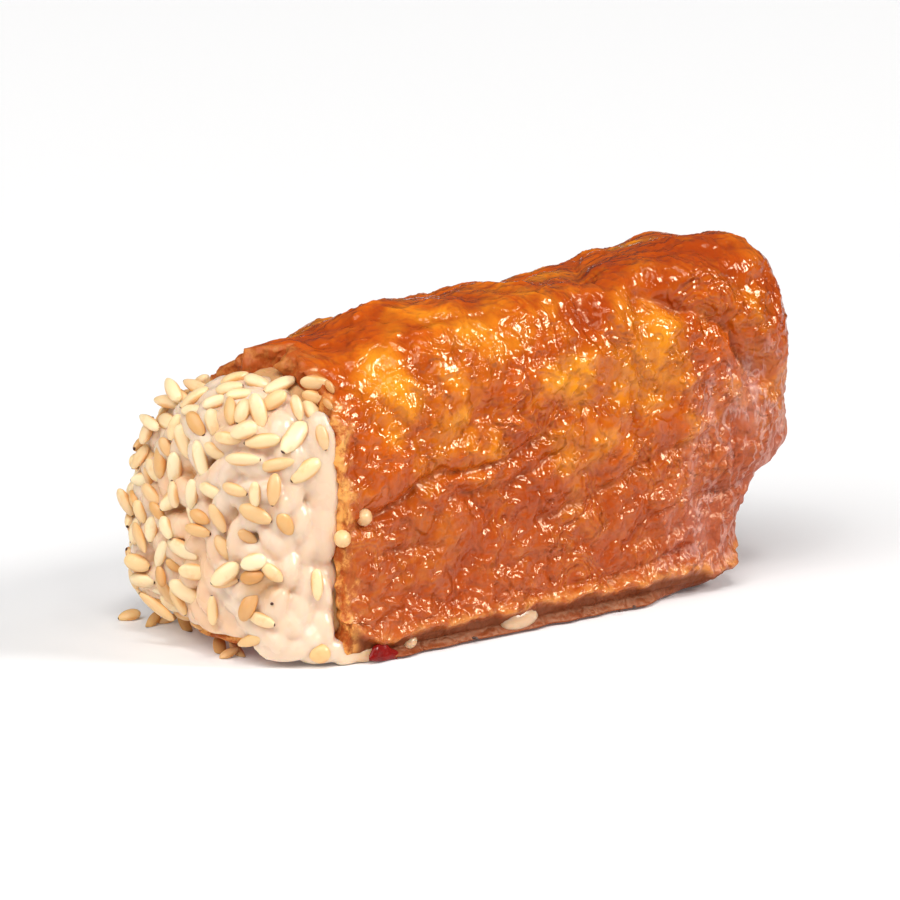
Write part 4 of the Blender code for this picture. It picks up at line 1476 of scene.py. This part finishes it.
class InariRiceLook(PropertyGroup):
    """Sizes and colours of the rice."""

    grains: IntProperty(name="Grains", description="Grains on the open end", default=250, min=1)
    grain_length: length_setting("Grain length", "Usual length of a cooked grain", 5.6)
    grain_width: length_setting("Grain width", "Usual width of a cooked grain", 2.7)
    core_sunk: length_setting("Core sunk", "How far the core lies under the heap's outline", 1.7)
    fuse: length_setting("Fuse", "Size below which the clefts between grains fill up", 0.26)
    rice: colour_setting("Rice", "Milky rice", (0.81, 0.63, 0.48))
    # Painted shade with warm light bounced from the seeds, in patches on the rice.
    rice_warm: colour_setting("Warm rice", "Rice that took up sauce", (0.83, 0.55, 0.35))
    # Painted shade in the clefts, the hollow and under the lip.
    cleft: colour_setting("Cleft", "Gaps between the grains", (0.62, 0.34, 0.14))


class InariSeedLook(PropertyGroup):
    """Sizes and colours of the sesame seeds and the ginger."""

    seeds: IntProperty(name="Seeds", description="Seeds scattered besides those set", default=150, min=1)
    seed_length: length_setting("Seed length", "Usual length of a seed", 3.75)
    seed_width: length_setting("Seed width", "Usual width of a seed", 1.85)
    seed: colour_setting("Seed", "Palest seeds", (0.97, 0.79, 0.50))
    seed_tan: colour_setting("Tan seed", "Tan seeds", (0.88, 0.55, 0.22))
    seed_toasted: colour_setting("Toasted seed", "Toasted seeds", (0.60, 0.27, 0.08))
    # Painted shade round the edge of a seed, and orange blotches of its own.
    seed_edge: colour_setting("Seed edge", "Round the edge of a seed", (0.76, 0.35, 0.09))
    seed_tip: colour_setting("Seed tip", "Point of a seed", (0.06, 0.018, 0.008))
    fleck_length: length_setting("Fleck length", "Length of the ginger shred", 3.8)
    fleck: colour_setting("Fleck", "Dark red of the ginger", (0.11, 0.003, 0.003))
    fleck_bright: colour_setting("Bright fleck", "Where the ginger is thin", (0.34, 0.010, 0.007))


class InariStageLook(PropertyGroup):
    """The camera, the floor and the lights."""

    azimuth: FloatProperty(
        name="Azimuth", description="Camera's turn about the part", default=VIEW_AZIMUTH, subtype="ANGLE"
    )
    elevation: FloatProperty(
        name="Elevation", description="Camera's height angle", default=VIEW_ELEVATION, subtype="ANGLE"
    )
    distance: length_setting("Distance", "From the camera to the aim", VIEW_DISTANCE)
    aim: FloatVectorProperty(
        name="Aim", description="What the camera looks at", default=[v * MM for v in VIEW_AIM], size=3,
        unit="LENGTH",
    )
    lens: FloatProperty(name="Lens", description="Focal length in millimetres", default=162.3, min=1)
    floor: colour_setting("Floor", "White table", (0.93, 0.935, 0.95))
    daylight: FloatProperty(name="Daylight", description="Soft light from all round", default=0.075, min=0)
    key: FloatProperty(name="Key", description="Strength of the wide lamp on the left", default=2.1, min=0)
    front: FloatProperty(name="Front", description="Strength of the lamps in front", default=1.5, min=0)
    glint: FloatProperty(name="Glint", description="Strength of the lamp for glints", default=2.6, min=0)
    spark: FloatProperty(name="Spark", description="Strength of each small lamp", default=0.12, min=0)


class InariLook(PropertyGroup):
    """All settings of the part."""

    skin: PointerProperty(type=InariSkinLook)
    rice: PointerProperty(type=InariRiceLook)
    seeds: PointerProperty(type=InariSeedLook)
    stage: PointerProperty(type=InariStageLook)


# === operators ====================================================================================

# Where the random draws start for the grains and for the sesame.
GRAIN_DRAWS, SESAME_DRAWS = 5, 8


class INARI_OT_skin(Operator):
    """Make the crumpled tofu pouch"""

    bl_idname = "inari.skin"
    bl_label = "Tofu skin"
    bl_options = {"REGISTER", "UNDO"}

    def execute(self, context):
        look = context.scene.inari.skin
        make_piece(skin_surface(look), skin_finish(look), ["tofu_skin"])
        return {"FINISHED"}


class INARI_OT_rice(Operator):
    """Make the rice core and the grains fused over it"""

    bl_idname = "inari.rice"
    bl_label = "Rice"
    bl_options = {"REGISTER", "UNDO"}

    def execute(self, context):
        look = context.scene.inari.rice
        make_piece(rice_core(look), rice_finish(look, "rice_core"), ["rice_filling"])
        loose = grains_mesh(look, np.random.default_rng(GRAIN_DRAWS), tree_of("tofu_skin_dressed"))
        grains = fused(loose, look.fuse, passes=4)
        set_values(grains, grain_values(points_of(grains)))
        make_piece(grains, rice_finish(look, "rice_grains"), ["rice_filling"])
        return {"FINISHED"}


class INARI_OT_seeds(Operator):
    """Scatter the sesame seeds over the rice"""

    bl_idname = "inari.seeds"
    bl_label = "Sesame seeds"
    bl_options = {"REGISTER", "UNDO"}

    def execute(self, context):
        look = context.scene.inari.seeds
        trees = [tree_of("rice_grains"), tree_of("tofu_skin_dressed")]
        mesh = seeds_mesh(look, np.random.default_rng(SESAME_DRAWS), trees)
        make_piece(mesh, seed_finish(look), None)
        return {"FINISHED"}


class INARI_OT_fleck(Operator):
    """Lay the shred of red ginger against the lip"""

    bl_idname = "inari.fleck"
    bl_label = "Ginger fleck"
    bl_options = {"REGISTER", "UNDO"}

    def execute(self, context):
        look = context.scene.inari.seeds
        make_piece(fleck_mesh(look), fleck_finish(look), None)
        return {"FINISHED"}


# Where the lamps stand, in metres, the small ones that glint on the wet film last, and their tints.
LEFT_ABOVE, FRONT_ABOVE, RIGHT_BELOW = (-1.25, -0.31, 1.45), (-0.26, -0.55, 1.15), (0.50, -0.64, 0.59)
SPARKS = (
    (-0.55, -0.70, 0.45), (0.10, -0.55, 0.85), (-0.20, -0.80, 0.70), (0.60, -0.35, 0.85),
    (-0.65, -0.35, 0.90),
)
WARM_WHITE, GOLDEN, SPARK_WHITE = (1.0, 0.985, 0.96), (1.0, 0.93, 0.80), (1.0, 0.98, 0.95)

# The daylight's tint, and how bright the plain background shows.
SKY_TINT, BACKDROP_BRIGHTNESS = (0.88, 0.92, 1.0), 1.15

# Half the side of the white table, and how far under the part it lies, in metres.
FLOOR_HALF, FLOOR_DROP = 3.0, 0.00002


class INARI_OT_stage(Operator):
    """Set the camera, the white floor and the soft lights"""

    bl_idname = "inari.stage"
    bl_label = "Stage"
    bl_options = {"REGISTER", "UNDO"}

    def execute(self, context):
        look = context.scene.inari.stage
        add_camera(look)
        add_floor(look)
        add_world(look)
        add_lamp("key", look, look.key, 50, LEFT_ABOVE, WARM_WHITE)
        add_lamp("front", look, look.front * 0.55, 13, FRONT_ABOVE, WARM_WHITE)
        add_lamp("side", look, look.front, 14, RIGHT_BELOW, WARM_WHITE)
        add_lamp("glint", look, look.glint, 26, RIGHT_BELOW, GOLDEN, glint_only=True)
        for k, place in enumerate(SPARKS):
            add_lamp("spark_" + str(k + 1), look, look.spark, 3, place, SPARK_WHITE)
        context.scene.view_settings.view_transform = "Standard"
        return {"FINISHED"}


def add_camera(look):
    """A long lens at the given angle, looking at the aim."""
    data = bpy.data.cameras.new("camera")
    data.lens = look.lens
    data.clip_start = 0.05
    camera = bpy.data.objects.new("camera", data)
    back = direction(look.azimuth, look.elevation)
    camera.location = Vector(look.aim) + back * look.distance
    camera.rotation_euler = back.to_track_quat("Z", "Y").to_euler()
    bpy.context.scene.collection.objects.link(camera)
    bpy.context.scene.camera = camera


def add_floor(look):
    """A wide square just under the part."""
    mesh = bpy.data.meshes.new("floor")
    signs = ((-1, -1), (1, -1), (1, 1), (-1, 1))
    corners = [(x * FLOOR_HALF, y * FLOOR_HALF, -FLOOR_DROP) for x, y in signs]
    mesh.from_pydata(corners, [], [(0, 1, 2, 3)])
    mesh.materials.append(floor_finish(look))
    floor = bpy.data.objects.new("floor", mesh)
    bpy.context.scene.collection.objects.link(floor)


def add_world(look):
    """Even, faintly cool light from all round, and plain white behind the part."""
    world = bpy.data.worlds.new("studio")
    world.use_nodes = True
    nodes, links = world.node_tree.nodes, world.node_tree.links
    background = nodes["Background"]
    background.inputs["Color"].default_value = (*SKY_TINT, 1)
    path = nodes.new("ShaderNodeLightPath")
    brightness = nodes.new("ShaderNodeMix")
    brightness.data_type = "FLOAT"
    brightness.inputs[2].default_value = look.daylight
    brightness.inputs[3].default_value = BACKDROP_BRIGHTNESS
    links.new(path.outputs["Is Camera Ray"], brightness.inputs[0])
    links.new(brightness.outputs[0], background.inputs["Strength"])
    bpy.context.scene.world = world


def add_lamp(name, look, strength, degrees, place, tint, glint_only=False):
    """A far lamp in the direction of that place, which looks that many degrees wide from the part. One
    for glints alone shows only in wet surfaces."""
    data = bpy.data.lights.new(name, "SUN")
    data.energy = strength
    data.angle = math.radians(degrees)
    data.color = tint
    lamp = bpy.data.objects.new(name, data)
    lamp.location = place
    lamp.rotation_euler = (Vector(place) - Vector(look.aim)).to_track_quat("Z", "Y").to_euler()
    lamp.visible_diffuse = not glint_only
    bpy.context.scene.collection.objects.link(lamp)


class INARI_PT_panel(Panel):
    """Lists the settings and the pieces"""

    bl_idname = "INARI_PT_panel"
    bl_label = "Inari Sushi"
    bl_space_type = "VIEW_3D"
    bl_region_type = "UI"
    bl_category = "Inari"

    def draw(self, context):
        look = context.scene.inari
        groups = (
            (look.skin, (INARI_OT_skin,)), (look.rice, (INARI_OT_rice,)),
            (look.seeds, (INARI_OT_seeds, INARI_OT_fleck)), (look.stage, (INARI_OT_stage,)),
        )
        for group, makers in groups:
            box = self.layout.box()
            for key in group.__annotations__:
                box.prop(group, key)
            for maker in makers:
                box.operator(maker.bl_idname)


CLASSES = (
    InariSkinLook, InariRiceLook, InariSeedLook, InariStageLook, InariLook,
    INARI_OT_skin, INARI_OT_rice, INARI_OT_seeds, INARI_OT_fleck, INARI_OT_stage, INARI_PT_panel,
)


def register():
    for cls in CLASSES:
        bpy.utils.register_class(cls)
    bpy.types.Scene.inari = PointerProperty(type=InariLook)


def unregister():
    del bpy.types.Scene.inari
    for cls in reversed(CLASSES):
        bpy.utils.unregister_class(cls)


def main():
    register()
    bpy.ops.inari.skin()
    bpy.ops.inari.rice()
    bpy.ops.inari.seeds()
    bpy.ops.inari.fleck()
    bpy.ops.inari.stage()


if __name__ == "__main__":
    main()
